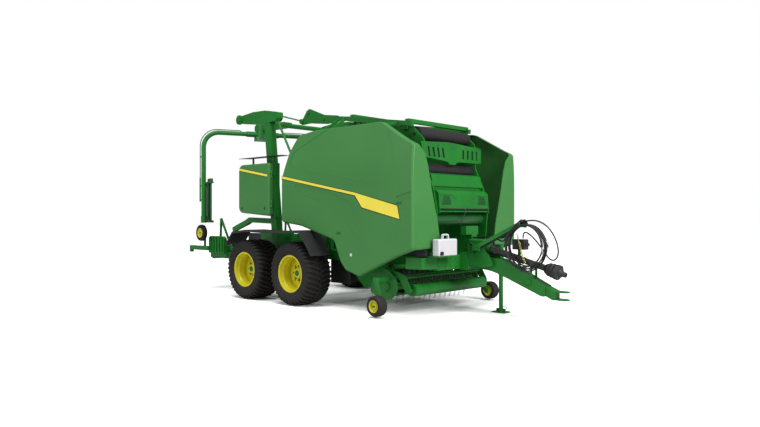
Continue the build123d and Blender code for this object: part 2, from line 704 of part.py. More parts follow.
def water_tank():
    """White canister with a moulded handle and a cap."""
    y0, y1 = -TANK_OUT_Y, -TANK_IN_Y
    middle = (y0 + y1) / 2
    x0, x1 = 2468, 2592
    z0, z1 = 870 + SEAT, 1112
    body = fillet(block(x0, x1, y0, y1, z0, z1).edges(), 22)
    handle = plate_yz([(middle - 76, z1 - 6), (middle - 66, z1 + 56), (middle - 36, z1 + 72),
                       (middle + 36, z1 + 72), (middle + 66, z1 + 56), (middle + 76, z1 - 6)],
                      x0 + 46, x1 - 46, [1, 16, 16, 16, 16, 1])
    hole = plate_yz([(middle - 58, z1), (middle - 50, z1 + 50), (middle + 50, z1 + 50), (middle + 58, z1)],
                    x0, x1, 10)
    cap = rod((x1 - 3, y0 + 44, z0 + 44), (x1 + 26, y0 + 44, z0 + 44), 27)
    return body + (handle - hole) + cap


def valve_box():
    """Light box and gearbox on the crossbeam with the output flange of the shaft."""
    box = block(2415, 2600, -70, 118, 900.3, 1090)
    stub = block(2415, 2500, -14, 114, 1089, 1160) + block(2400, 2500, -150, 150, 1159, 1285)
    gear = fillet(block(2520.3, 2790, -120, 120, 838, 1092).edges(), 18)
    collar = rod((2780, 0, 968), (2850, 0, 950), 74)
    return box + stub + gear + collar


# Drawbar, hitch, jack, shaft and hose rack

FLANGE_X = 2520.3


def drawbar():
    """Kinked box drawbar with bolting flange, cheek plates round the gearbox and the jack bracket."""
    half = BAR_W / 2
    beam = plate_xz([(FLANGE_X, 690), (2900, 640), (3040, 600), (3700, 345), (3760, 345), (3760, 490),
                     (3060, 822), (2880, 832), (FLANGE_X, 832)], -half, half,
                    [10, 200, 200, 60, 14, 14, 160, 120, 10])
    flange = block(FLANGE_X, FLANGE_X + 20, -160, 160, 650, 832)
    cheek_outline = [(FLANGE_X, 700), (2800, 690), (2980, 720), (2900, 860), (2700, 1040), (FLANGE_X, 1040)]
    parts = [beam, flange]
    for side in (-1, 1):
        cheek = plate_xz(cheek_outline, side * 125, side * 140, [20, 60, 40, 80, 60, 30])
        cheek = cheek - roll(2650, 935, 42, side * 100, side * 160)
        spacer = block(FLANGE_X + 10, 2900, side * (half - 2), side * 127, 720, 760)
        parts = parts + [cheek, spacer]
    sleeve = rod((JACK_X, JACK_Y, 560), (JACK_X, JACK_Y, 1010), JACK_R + 10, JACK_R + JACK_GAP)
    bracket = block(JACK_X - 60, JACK_X + 60, 138, JACK_Y - JACK_R - 4, 730, 850)
    post = block(3230, 3270, half - 2, half + 22, 620, 958)
    eye = block(3480, 3540, -half - 24, -half + 2, 500, 560)
    return joined(parts + [sleeve, bracket, post, eye])


def jack_leg():
    """Inner tube of the jack, its foot plate and the small pull handle."""
    tube = rod((JACK_X, JACK_Y, FOOT_T - 1), (JACK_X, JACK_Y, 960), JACK_R)
    foot = plate_xy([(JACK_X - 120, JACK_Y - 95), (JACK_X + 120, JACK_Y - 95), (JACK_X + 120, JACK_Y + 95),
                     (JACK_X - 120, JACK_Y + 95)], 0, FOOT_T, 30)
    gussets = [block(JACK_X - 80, JACK_X + 80, JACK_Y - 6, JACK_Y + 6, FOOT_T - 1, 60)]
    hook_line = FilletPolyline((JACK_X + 10, JACK_Y, 78), (JACK_X + 96, JACK_Y, 92), (JACK_X + 104, JACK_Y, 48),
                               radius=18)
    hook = sweep(Plane(origin=hook_line @ 0, z_dir=hook_line % 0) * Circle(6), path=hook_line)
    return joined([tube, foot] + gussets + [hook])


def clevis():
    """Clevis hitch: block, two rounded tines bored for the hitch pin, and its bolts."""
    low = CLEVIS_Z - CLEVIS_GAP / 2
    high = CLEVIS_Z + CLEVIS_GAP / 2
    block_body = plate_xz([(3760.3, 350), (3860, low - 20), (3900, low - 20), (3900, high + 20), (3760.3, 486)],
                          -66, 66, [8, 20, 8, 8, 8])
    tine = [(3880, -62), (HITCH_TIP_X - 50, -62), (HITCH_TIP_X, -40), (HITCH_TIP_X, 40),
            (HITCH_TIP_X - 50, 62), (3880, 62)]
    radii = [4, 30, 30, 30, 30, 4]
    lower = plate_xy(tine, low - 20, low, radii)
    upper = plate_xy(tine, high, high + 20, radii)
    bore = rod((CLEVIS_PIN_X, 0, low - 60), (CLEVIS_PIN_X, 0, high + 60), CLEVIS_BORE_R)
    bolts = [roll(x, z, 15, -78, 78) for x, z in ((3800, 446), (3812, 376))]
    return joined([block_body, lower, upper] + bolts) - bore


SHAFT_START = (2850.3, 0, 950)
SHAFT_END = (3960, 0, 664)


def along(share):
    return tuple(a + (b - a) * share for a, b in zip(SHAFT_START, SHAFT_END))


def power_shaft():
    """Guarded telescopic shaft: bell, outer and inner tube, ribbed cone and the splined yoke end."""
    length = span(SHAFT_START, SHAFT_END)
    profile = [(0, 0), (70, 0), (76, 20), (72, 90), (50, 130), (50, 560), (44, 565), (44, length - 250),
               (60, length - 240), (94, length - 180), (84, length - 172), (100, length - 130),
               (90, length - 122), (104, length - 76), (104, length - 30), (60, length - 18), (52, length + 10),
               (36, length + 22), (36, length + 70), (17.8, length + 70), (17.8, length + 12), (0, length + 12)]
    body = revolve(Plane.XY * outline(profile), axis=Axis.Y)
    place = axis_plane(SHAFT_START, SHAFT_END)
    return Location(place) * (Rot(90, 0, 0) * body)


def shaft_cradle():
    """Fork on the drawbar that the parked shaft rests in."""
    x, _, z = along(0.62)
    base_z = 620
    left = block(x - 16, x + 16, -74, -60, base_z - 60, z + 10)
    right = block(x - 16, x + 16, 60, 74, base_z - 60, z + 10)
    return left, right


RACK_END = (3400, -60, 1352)
COIL_X = 3506
COIL_Y = -160
COIL_Z = 1012
COIL_R = 320
COIL_TUBE_R = 28
HOOK_R = 9
HOOK_X = 3440
HOOK_Z = COIL_Z + sqrt((COIL_R - COIL_TUBE_R - HOOK_R - 0.1) ** 2 - (HOOK_X - COIL_X) ** 2)


def hose_rack():
    """Sloping hose arm with a cradle hook at its end, and the foot on the cheek plate."""
    root = (2700, -175, 985)
    arm = bar(root, RACK_END, 34, 52, wall=6)
    foot = block(2640, 2760, -192, -140.3, 930, 1020)
    cradle = rod((HOOK_X, -214, HOOK_Z), (HOOK_X, -52, HOOK_Z), HOOK_R)
    tip = rod((HOOK_X, -214, HOOK_Z - HOOK_R), (HOOK_X, -214, HOOK_Z + 62), HOOK_R)
    drop = plate_xz([(3370, 1320), (HOOK_X - 4, HOOK_Z - 16), (HOOK_X + 16, HOOK_Z - 10), (HOOK_X + 14, 1330),
                     (3416, 1386), (3376, 1372)], -78, -42, 8)
    clip = block(3378, 3420, -106, -76, 1340, 1376)
    return joined([arm, foot, cradle, tip, drop, clip])


def control_box():
    """Black plug box on the post of the drawbar."""
    body = fillet(block(3170, 3370, 30, 150, 958.3, 1106).edges(), 10)
    sockets = [rod((3365, y, 1030), (3392, y, 1030), 22) for y in (62, 118)]
    return joined([body] + sockets)


# Pickup, with its tine reel, strippers, roller windguard and gauge wheels

REEL_TIP_R = 262
REEL_SHAFT_R = 24
REEL_END_Y = REEL_HALF_W + 22
STRIP_COUNT = 15
TINE_ROWS = 4
STRIP_R = 172
WIND_HALF_W = 870
WIND_SHAFT_R = 18
WIND_ARM_Y = REEL_HALF_W + 31
WIND_ARM_T = 16
WIND_TUBE = (1965, 540)


def pickup_frame():
    """Side plates with the pivot, a cross tube, the strippers between the tines and the wheel arms."""
    px, pz = PICKUP_PIVOT
    outline_points = [(REEL_X - 330, 300), (REEL_X - 60, 190), (REEL_X + 120, 230), (REEL_X + 210, 360),
                      (REEL_X + 190, 520), (REEL_X + 40, 640), (px + 60, 700), (px - 60, 700), (px - 70, 560)]
    radii = [60, 100, 100, 80, 80, 100, 40, 50, 80]
    parts = []
    for side in (-1, 1):
        plate = plate_xz(outline_points, side * (PICKUP_Y - 24), side * PICKUP_Y, radii)
        plate = plate - roll(REEL_X, REEL_Z, REEL_SHAFT_R + RUN, side * (PICKUP_Y - 60), side * (PICKUP_Y + 40))
        bearing = roll(REEL_X, REEL_Z, 62, side * PICKUP_Y, side * (PICKUP_Y + 34))
        bearing = bearing - roll(REEL_X, REEL_Z, REEL_SHAFT_R + RUN, side * (PICKUP_Y - 60), side * (PICKUP_Y + 60))
        parts = parts + [plate, bearing]
    reach = PICKUP_Y - 20
    parts.append(roll(px, pz, PIVOT_TUBE_R, -reach, reach))
    parts.append(roll(REEL_X - 292, 340, 22, -reach, reach))
    pitch = 2 * (REEL_HALF_W - 20) / (STRIP_COUNT - 1)
    arc = [160, 120, 80, 45, 10, -30, -70, -110, -150]
    outer = [(REEL_X + STRIP_R * cos(radians(a)), REEL_Z + STRIP_R * sin(radians(a))) for a in arc + [-168]]
    inner = [(REEL_X + (STRIP_R - 7) * cos(radians(a)), REEL_Z + (STRIP_R - 7) * sin(radians(a)))
             for a in arc + [-178]]
    strip_face = [(px + 22, pz - 20), (px - 8, pz - 30)] + outer + [(REEL_X - 290, 334), (REEL_X - 290, 346)]
    strip_face = strip_face + inner[::-1]
    for index in range(STRIP_COUNT):
        y = -(REEL_HALF_W - 20) + pitch * index
        parts.append(plate_xz(strip_face, y - 32, y + 32))
    for side in (-1, 1):
        arm_y = side * (GAUGE_Y - GAUGE_W / 2 - 30)
        axle_z = GAUGE_R + GAUGE_CLEAR
        parts.append(bar((REEL_X + 40, side * (PICKUP_Y - 4), 520), (REEL_X + 40, arm_y + side * 14, 520), 60, 60))
        parts.append(bar((REEL_X + 40, arm_y, 540), (GAUGE_X - 6, arm_y, axle_z - 16), 28, 62, up=(1, 0, 0)))
        parts.append(roll(GAUGE_X, axle_z, 40, arm_y - 14, arm_y + 14))
        parts.append(roll(GAUGE_X, axle_z, 15, arm_y, side * (GAUGE_Y + GAUGE_W / 2 + 6)))
    return joined(parts)


def tine_reel():
    """Reel drum with four tine bars; the tines stand between the strippers."""
    parts = [roll(REEL_X, REEL_Z, 60, -REEL_HALF_W, REEL_HALF_W)]
    parts.append(roll(REEL_X, REEL_Z, REEL_SHAFT_R, -REEL_END_Y, REEL_END_Y))
    pitch = 2 * (REEL_HALF_W - 20) / (STRIP_COUNT - 1)
    for side in (-1, 1):
        parts.append(roll(REEL_X, REEL_Z, 150, side * (REEL_END_Y - 10), side * REEL_END_Y))
    for row in range(TINE_ROWS):
        angle = 360 / TINE_ROWS * row + 20
        cx = REEL_X + 132 * cos(radians(angle))
        cz = REEL_Z + 132 * sin(radians(angle))
        parts.append(roll(cx, cz, 17, -REEL_HALF_W - 16, REEL_HALF_W + 16))
        for index in range(STRIP_COUNT - 1):
            y = -(REEL_HALF_W - 20) + pitch * (index + 0.5)
            bend = radians(angle - 14)
            root = (cx, y, cz)
            tip_x = REEL_X + REEL_TIP_R * cos(bend)
            tip_z = REEL_Z + REEL_TIP_R * sin(bend)
            parts.append(bar(root, (tip_x, y, tip_z), 2 * TINE_R, 2 * TINE_R, up=(0, 1, 0)))
    return joined(parts)


def reel_stubs():
    """Both shaft ends of the reel, flanged on its end discs and carried in the bearings."""
    start, end = REEL_END_Y + SEAT, PICKUP_Y + 40
    return joined([roll(REEL_X, REEL_Z, REEL_SHAFT_R, side * start, side * end) for side in (-1, 1)])


def wind_roller():
    reach = WIND_ARM_Y + WIND_ARM_T + 8
    drum = roll(WIND_X, WIND_Z, WIND_R, -WIND_HALF_W, WIND_HALF_W)
    return drum + roll(WIND_X, WIND_Z, WIND_SHAFT_R, -reach, reach)


def guard_arms():
    """Both arms of the windguard with their pivots and the bores of its roller."""
    parts = []
    tube_x, tube_z = WIND_TUBE
    for side in (-1, 1):
        y0 = side * WIND_ARM_Y
        y1 = side * (WIND_ARM_Y + WIND_ARM_T)
        arm = plate_xz([(WIND_X - 40, WIND_Z - 42), (WIND_X + 42, WIND_Z - 30), (WIND_X + 30, WIND_Z + 60),
                        (tube_x + 40, tube_z + 40), (REEL_X - 20, 668), (REEL_X - 20, 600),
                        (tube_x - 60, tube_z - 30)], y0, y1, [20, 30, 50, 40, 20, 20, 60])
        arm = arm - roll(WIND_X, WIND_Z, WIND_SHAFT_R + RUN, y0 - side * 10, y1 + side * 10)
        pivot = roll(REEL_X, 634, 20, y1 - side * 8, side * (PICKUP_Y - 24.3))
        parts = parts + [arm, pivot]
    return joined(parts)


def windguard():
    """Tube between the arms and the comb of spring fingers under it."""
    tube_x, tube_z = WIND_TUBE
    parts = [roll(tube_x, tube_z, 24, SEAT - WIND_ARM_Y, WIND_ARM_Y - SEAT)]
    count = 25
    for index in range(count):
        y = -WIND_HALF_W + 20 + (2 * WIND_HALF_W - 40) / (count - 1) * index
        root = (tube_x, y, tube_z)
        parts.append(bar(root, (tube_x - 3, y, tube_z - 88), 9, 9, up=(0, 1, 0)))
    return joined(parts)


def gauge_wheel():
    """Right gauge wheel: solid tyre and pressed hub as two shapes about the same axis."""
    z = GAUGE_R + GAUGE_CLEAR
    half = GAUGE_W / 2
    ring = turned([(88, -half), (GAUGE_R - 22, -half), (GAUGE_R - 6, -half + 14), (GAUGE_R, -half + 40),
                   (GAUGE_R, half - 40), (GAUGE_R - 6, half - 14), (GAUGE_R - 22, half), (88, half)])
    centre = turned([(15.4, -half + 6), (34, -half + 6), (40, -half + 26), (76, -half + 30), (80, -half + 6),
                     (88.5, -half + 6), (88.5, half - 6), (80, half - 6), (76, half - 30), (34, half - 24),
                     (15.4, half - 24)])
    place = Pos(GAUGE_X, -GAUGE_Y, z)
    return place * ring, place * centre


# Gantry over the rear: posts, head arms, cross tube and the beam that carries the satellite's hub

CROSS_R = 46
HUB_LOW_Z = HUB_Z + 80


def gantry():
    parts = []
    for side in (-1, 1):
        y = side * POST_Y
        parts.append(bar((POST_LOW_X, y, POST_LOW_Z), (POST_TOP_X, y, POST_TOP_Z + 60), POST_W, 150,
                         up=(1, 0, 0)))
        parts.append(block(POST_LOW_X - 80, POST_LOW_X + 70, side * (RAIL_Y - 40), y, POST_LOW_Z, POST_LOW_Z + 90))
        parts.append(block(POST_LOW_X - 80, POST_LOW_X + 70, side * (RAIL_Y - 30), side * (RAIL_Y + 30),
                           RAIL_Z + RAIL_H / 2 + 0.3, POST_LOW_Z + 60))
        head = [(POST_TOP_X + 290, HEAD_Z - 60), (POST_TOP_X + 250, HEAD_Z - 110),
                (POST_TOP_X - 130, HEAD_Z - 140), (HEAD_X - 30, HEAD_Z - 62), (HEAD_X - 60, HEAD_Z),
                (HEAD_X - 30, HEAD_Z + 62), (POST_TOP_X - 400, HEAD_Z + 104), (POST_TOP_X - 40, HEAD_Z + 96),
                (POST_TOP_X + 290, HEAD_Z + 40)]
        parts.append(plate_xz(head, y - 70, y + 70, [20, 60, 60, 50, 40, 50, 80, 60, 20]))
        parts.append(roll(HEAD_X, HEAD_Z, 86, y + side * 60, y + side * 98))
        parts.append(roll(HEAD_X, HEAD_Z, 58, y + side * 98, y + side * 112))
        beam = [(POST_LOW_X - 20, 1290), (POST_LOW_X - 20, 1380), (BOX_REAR_X - 20, 1400),
                (BOX_REAR_X - 130, 1350), (SIDE_BEAM_END_X, 1210), (SIDE_BEAM_END_X + 20, 1130),
                (BOX_REAR_X - 90, 1270), (BOX_REAR_X, 1310)]
        parts.append(plate_xz(beam, y - 38, y + 38, [5, 5, 60, 60, 20, 20, 60, 60]))
        strut_foot = (RAIL_REAR_X + 40, side * (RAIL_Y + RAIL_W / 2 - 15), RAIL_Z + RAIL_H / 2 + 15 + SEAT)
        parts.append(bar((SIDE_BEAM_END_X + 60, y, 1180), strut_foot, 30, 30))
    parts.append(roll(HEAD_X, HEAD_Z, CROSS_R, -POST_Y, POST_Y))
    spine = plate_xz([(HEAD_X + 60, HEAD_Z - 30), (HEAD_X + 60, HEAD_Z + 60), (HUB_X - 60, HUB_LOW_Z + 150),
                      (HUB_X - 150, HUB_LOW_Z + 90), (HUB_X - 150, HUB_LOW_Z), (HEAD_X - 100, HUB_LOW_Z)],
                     -95, 95, [20, 20, 60, 20, 10, 60])
    parts.append(spine)
    parts.append(rod((HUB_X, 0, HUB_LOW_Z), (HUB_X, 0, HUB_LOW_Z + 175), 120))
    shape = joined(parts)
    return shape - rod((HUB_X, 0, HUB_LOW_Z - 10), (HUB_X, 0, HUB_LOW_Z + 120), 50.5)


def gantry_stay():
    """Long stay from the right head arm down to its bracket on the rail."""
    foot = (190, -POST_Y, 1318)
    tube = rod((POST_TOP_X + 192, -POST_Y, POST_TOP_Z + 95), foot, 20)
    bracket = plate_xz([(140, 1250), (240, 1250), (220, 1345), (160, 1345)], -POST_Y - 12, -POST_Y + 12, 12)
    outrigger = block(150, 230, -POST_Y - 20, -RAIL_Y, 1222, 1252)
    upright = block(160, 220, -RAIL_Y - 40, -RAIL_Y + 20, RAIL_Z + RAIL_H / 2 + 0.3, 1252)
    return joined([tube, bracket, outrigger, upright])


def lift_linkage():
    """Right bracket plate over the tailgate, with its round pivots, and the rod to the gantry."""
    y0, y1 = -(WALL_Y + 62) + 14, -(WALL_Y + 62) - 14
    plate = plate_xz([(360, 2985), (330, 3075), (-20, 3120), (-400, 3262), (-470, 3215), (-560, 3110),
                      (-640, 3075), (-600, 3000), (-380, 3010), (60, 2960)], y0, y1,
                     [20, 40, 60, 40, 30, 20, 30, 40, 60, 60])
    pivots = [roll(x, z, r, y1 - 22, y0 + 6) for x, z, r in ((-415, 3200, 34), (-590, 3060, 44), (-20, 3050, 26))]
    joint = rod((-600, y1 - 12, 3072), (POST_TOP_X + 250, -POST_Y + 84, HEAD_Z - 20), 13)
    return joined([plate] + pivots + [joint])


# Satellite with its two arms and film dispensers, about the hub axis

def satellite_arms():
    half_reach = ARM_REACH
    path = FilletPolyline((60, 0, HUB_Z), (half_reach, 0, HUB_Z), (half_reach, 0, ARM_LOW_Z), radius=ARM_BEND)
    tube = sweep(Plane(origin=path @ 0, z_dir=path % 0) * Circle(ARM_R), path=path)
    sleeve = rod((70, 0, HUB_Z), (330, 0, HUB_Z), ARM_R + 12)
    socket = rod((half_reach, 0, ARM_LOW_Z), (half_reach, 0, ARM_LOW_Z + 130), ARM_R + 9)
    plate_top = block(half_reach - 57.7, half_reach - 20, -16, 16, 1980, 2050)
    plate_low = block(half_reach - 57.7, half_reach - 20, -16, 16, ARM_LOW_Z + 60, ARM_LOW_Z + 130)
    line = FilletPolyline((430, 0, HUB_Z + 34), (470, 0, HUB_Z + 62), (half_reach + 66, 0, HUB_Z + 62),
                          (half_reach + 66, 0, 2150), radius=[30, ARM_BEND + 40])
    pipe = sweep(Plane(origin=line @ 0, z_dir=line % 0) * Circle(9), path=line)
    guide = rod((half_reach + 66, 0, 2160), (half_reach + 66, 0, 1700), 15)
    clamps = [block(half_reach + 20, half_reach + 74, -11, 11, z, z + 26) for z in (2560, 1990, 1720)]
    arm = joined([tube, sleeve, socket, plate_top, plate_low, pipe, guide] + clamps)
    both = arm + Rot(0, 0, 180) * arm
    rotor = rod((0, 0, HUB_Z - 95), (0, 0, HUB_LOW_Z - 6), 150) + rod((0, 0, HUB_Z), (0, 0, HUB_LOW_Z + 100), 50)
    box = block(-150, 150, -105, 105, HUB_Z - 130, HUB_Z - 50)
    return Pos(HUB_X, 0, 0) * (Rot(0, 0, PARK_ANGLE) * (both + rotor + box))


def dispenser():
    """Film dispenser in the arm's own frame: foot and head plates, two stretch rollers, spool and motor."""
    reach = ARM_REACH
    low = ARM_LOW_Z + 5
    foot = plate_xy([(reach - 165, -150), (reach - 58, -150), (reach - 58, 150), (reach - 165, 150)],
                    low, low + 42, 16)
    head = plate_xy([(reach - 165, -150), (reach - 58, -150), (reach - 58, 150), (reach - 165, 150)],
                    2060, 2086, 16)
    web = block(reach - 80, reach - 58, -70, 70, low + 20, 2070)
    rollers = [rod((reach - 122, y, low + 46), (reach - 122, y, 2055), 30) for y in (-52, 22)]
    shafts = [rod((reach - 122, y, low + 30), (reach - 122, y, 2075), 10) for y in (-52, 22)]
    spool = rod((reach - 118, 112, low + 40), (reach - 118, 112, 2062), 16)
    knob = rod((reach - 118, 112, 2062), (reach - 118, 112, 2150), 38)
    motor = rod((reach - 112, -20, 2080), (reach - 112, -20, 2150), 34)
    return joined([foot, head, web, spool, knob, motor] + rollers + shafts)


def place_on_arm(shape, turn):
    return Pos(HUB_X, 0, 0) * (Rot(0, 0, PARK_ANGLE + turn) * shape)


# Rear frame, wrap table, tipper

REAR_RAIL_Y = 806
TABLE_PIVOT_X = -3130
TABLE_PIVOT_Z = 690


def rear_frame():
    """Rails behind the tandem that carry the wrap table, side guards, tipper arm and rear lamps' bar."""
    parts = []
    for side in (-1, 1):
        y = side * REAR_RAIL_Y
        parts.append(bar((RAIL_REAR_X + 180, y, 660), (-3275, y, 660), 70, 120))
        parts.append(block(RAIL_REAR_X - 30, RAIL_REAR_X + 190, side * (RAIL_Y - 30), side * (RAIL_Y + 60),
                           620, RAIL_Z - RAIL_H / 2 - SEAT))
        parts.append(plate_xz([(-3170, 700), (-3170, 990), (-3120, 1030), (-2700, 1030), (-2640, 990),
                               (-2640, 700)], side * 880, side * 950, [5, 30, 20, 20, 30, 5]))
        parts.append(block(-3170, -2640, side * (REAR_RAIL_Y + 30), side * 890, 640, 712))
        for x in (-3080, -2985, -2890, -2795, -2700):
            parts.append(block(x - 14, x + 14, side * 946, side * 972, 720, 1015))
        parts.append(bar((-2960, side * 800, 1372), (-2540, side * 800, 720), 34, 34))
        parts.append(bar((-2960, side * 800, 1372), (-3000, side * 800, 700), 34, 34))
        parts.append(roll(TABLE_PIVOT_X, TABLE_PIVOT_Z, 20, side * (TABLE_HALF_W + 22), side * REAR_RAIL_Y))
    parts.append(bar((-3240, -REAR_RAIL_Y, 610), (-3240, REAR_RAIL_Y, 610), 70, 70))
    parts.append(bar((RAIL_REAR_X - 10, -REAR_RAIL_Y, 650), (RAIL_REAR_X - 10, REAR_RAIL_Y, 650), 60, 60))
    return joined(parts)


def tipper():
    """Rear arms of the bale tipper at both sides with their feet, and the wheel post on the right."""
    parts = []
    for side in (-1, 1):
        parts.append(bar((-3090, side * 1000, 790), (REAR_END_X + 20, side * 1000, 790), 60, 84))
        parts.append(block(REAR_END_X, REAR_END_X + 60, side * 970, side * 1030, 700, 832))
        parts.append(block(-3170, -3090, side * 968, side * 1000, 750, 830))
    y = -1030
    parts.append(bar((-3200, y + 14, 810), (-3200, y + 14, TIP_WHEEL_Z), 26, 50, up=(1, 0, 0)))
    parts.append(roll(-3200, TIP_WHEEL_Z, 14, y + 6, -TIP_WHEEL_Y - 46))
    return joined(parts)


TIP_WHEEL_R = 160
TIP_WHEEL_W = 84
TIP_WHEEL_Y = 1090
TIP_WHEEL_Z = 1092


def tipper_wheel():
    half = TIP_WHEEL_W / 2
    ring = turned([(84, -half), (TIP_WHEEL_R - 16, -half), (TIP_WHEEL_R, -half + 20), (TIP_WHEEL_R, half - 20),
                   (TIP_WHEEL_R - 16, half), (84, half)])
    centre = turned([(14.4, -half + 2), (30, -half + 2), (36, -half + 18), (70, -half + 22), (76, -half + 4),
                     (84.5, -half + 4), (84.5, half - 4), (76, half - 4), (70, half - 20), (14.4, half - 16)])
    place = Pos(-3200, -TIP_WHEEL_Y, TIP_WHEEL_Z)
    return place * ring, place * centre


def table_frame():
    """Tilting frame of the wrap table: side plates, two cross tubes and bearings of the rollers."""
    front_x = HUB_X + TABLE_GAP / 2
    rear_x = HUB_X - TABLE_GAP / 2
    parts = []
    for side in (-1, 1):
        plate = plate_xz([(rear_x - 60, 640), (front_x + 70, 700), (front_x + 70, 800), (front_x + 20, 880),
                          (front_x - 60, 880), (HUB_X, 790), (rear_x + 60, 860), (rear_x - 60, 860)],
                         side * (TABLE_HALF_W + 20), side * (TABLE_HALF_W + 40), [30, 40, 40, 40, 40, 200, 40, 40])
        for x in (front_x, rear_x):
            plate = plate - roll(x, TABLE_Z, 24.4, side * (TABLE_HALF_W), side * (TABLE_HALF_W + 60))
        plate = plate - roll(TABLE_PIVOT_X, TABLE_PIVOT_Z, 20.4, side * TABLE_HALF_W, side * (TABLE_HALF_W + 90))
        hinge = roll(TABLE_PIVOT_X, TABLE_PIVOT_Z, 46, side * (TABLE_HALF_W + 20), side * (TABLE_HALF_W + 84))
        hinge = hinge - roll(TABLE_PIVOT_X, TABLE_PIVOT_Z, 20.4, side * TABLE_HALF_W, side * (TABLE_HALF_W + 90))
        parts = parts + [plate, hinge]
    reach = TABLE_HALF_W + 20
    parts.append(bar((HUB_X + 160, -reach, 742), (HUB_X + 160, reach, 742), 70, 60))
    parts.append(bar((HUB_X - 160, -reach, 738), (HUB_X - 160, reach, 738), 70, 60))
    return joined(parts)


def table_roller(x):
    ends = roll(x, TABLE_Z, 24, -TABLE_HALF_W - 38, TABLE_HALF_W + 38)
    drum = roll(x, TABLE_Z, TABLE_ROLLER_R, -TABLE_HALF_W + 6, TABLE_HALF_W - 6)
    return drum + ends


# Hoses and cable: coil on the rack hook, two leads and the thin cable loop

HOSE_R = 11
CABLE_R = 6
LEAD_A = [(2500.3, 20, 1113), (2600, 20, 1114), (2730, 12, 1126), (2860, -14, 1130), (2990, -62, 1120),
          (3100, -118, 1124), (3176.4, -155, 1142)]
LEAD_B = [(2500.3, 80, 1113), (2590, 80, 1115), (2710, 72, 1128), (2840, 36, 1128), (2960, -28, 1104),
          (3070, -106, 1082), (3151.5, -156, 1076)]
CABLE = [(3421, -92, 1358), (3520, -96, 1374), (3640, -100, 1376), (3756, -100, 1334), (3860, -100, 1246),
         (3936, -100, 1120), (3972, -100, 990), (3962, -100, 896), (3912, -100, 842), (3846, -100, 852),
         (3780, -98, 922), (3700, -94, 1024), (3610, -88, 1116), (3515, -70, 1186), (3430, -30, 1212),
         (3368, 20, 1196), (3336, 56, 1156), (3330, 64, 1120)]


def smooth_path(points):
    """Straight runs joined by tangent arcs, each as large as its two runs allow."""
    radii = []
    for before, at, after in zip(points, points[1:], points[2:]):
        first = Vector(*at) - Vector(*before)
        second = Vector(*after) - Vector(*at)
        turn = first.get_angle(second)
        radii.append(0.45 * min(first.length, second.length) / tan(radians(turn) / 2))
    print("radii", [round(radius) for radius in radii])
    return FilletPolyline(*points, radius=radii)


def cord(points, radius):
    path = smooth_path(points)
    tube = sweep(Plane(origin=path @ 0, z_dir=path % 0) * Circle(radius), path=path)
    ideal = 3.14159265 * radius * radius * path.length
    print("cord volume", round(tube.volume), "section times length", round(ideal))
    return tube


def hose_coil():
    plane = Plane(origin=(COIL_X, COIL_Y, COIL_Z), x_dir=(1, 0, 0), z_dir=(0, -1, 0))
    return plane.location * Torus(COIL_R, COIL_TUBE_R)


def build():
    wheels()
    keep("main_frame", main_frame())
    guard = mudguard()
    keep_pair("mudguard", guard)
    stays = joined(mudguard_stay())
    nodes["main_frame"] = joined([nodes["main_frame"], stays, other_side(stays)])
    keep_pair("tandem_beam", axle_beam())
    keep_pair("pickup_hanger", pickup_hanger())
    keep_pair("side_panel", side_panel())
    keep_pair("film_cover", film_cover())
    sheet, feet = top_sheet()
    keep_pair("film_rack", joined([film_rack(), sheet] + feet))
    keep("chamber_walls", bored_for_rollers(chamber_walls()))
    keep("intake_housing", intake_housing())
    keep("top_frame", top_frame())
    keep("tailgate", tailgate())
    keep("front_plates", front_plates())
    keep("top_roller", top_roller())
    for name, (x, z, radius) in FRONT_ROLLERS.items():
        keep(name, front_roller(x, z, radius))
    keep("net_box", net_box())
    keep("crossbeam", crossbeam())
    keep("water_tank", water_tank())
    keep("gearbox", valve_box())
    left, right = shaft_cradle()
    keep("drawbar", drawbar() + left + right)
    keep("jack_leg", jack_leg())
    keep("clevis", clevis())
    keep("power_shaft", power_shaft())
    keep("hose_rack", hose_rack())
    keep("control_box", control_box())
    keep("pickup_frame", pickup_frame())
    keep("tine_reel", tine_reel())
    keep("reel_stubs", reel_stubs())
    keep("wind_roller", wind_roller())
    keep("windguard", windguard())
    keep("guard_arms", guard_arms())
    ring, centre = gauge_wheel()
    keep_pair("gauge_wheel", ring + centre)
    keep("gantry", gantry() + gantry_stay())
    linkage = lift_linkage()
    nodes["top_frame"] = joined([nodes["top_frame"], linkage, other_side(linkage)])
    keep("satellite_arms", satellite_arms())
    unit = dispenser()
    keep("dispenser_near", place_on_arm(unit, 0))
    keep("dispenser_far", place_on_arm(unit, 180))
    keep("rear_frame", rear_frame() + tipper())
    ring, centre = tipper_wheel()
    keep("tipper_wheel", ring + centre)
    keep("table_frame", table_frame())
    keep("table_roller_front", table_roller(HUB_X + TABLE_GAP / 2))
    keep("table_roller_rear", table_roller(HUB_X - TABLE_GAP / 2))
    keep("hose_coil", hose_coil())
    keep("hose_lead_a", cord(LEAD_A, HOSE_R))
    keep("hose_lead_b", cord(LEAD_B, HOSE_R))
    keep("cable_loop", cord(CABLE, CABLE_R))


build()
os.makedirs("parts", exist_ok=True)
for name, shape in nodes.items():
    export_step(Pos(-ORIGIN_X, 0, 0) * shape, "parts/" + name + ".step")
print("nodes", len(nodes), "origin at x", ORIGIN_X)
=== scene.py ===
import json
from math import cos, pi, radians, sin, sqrt

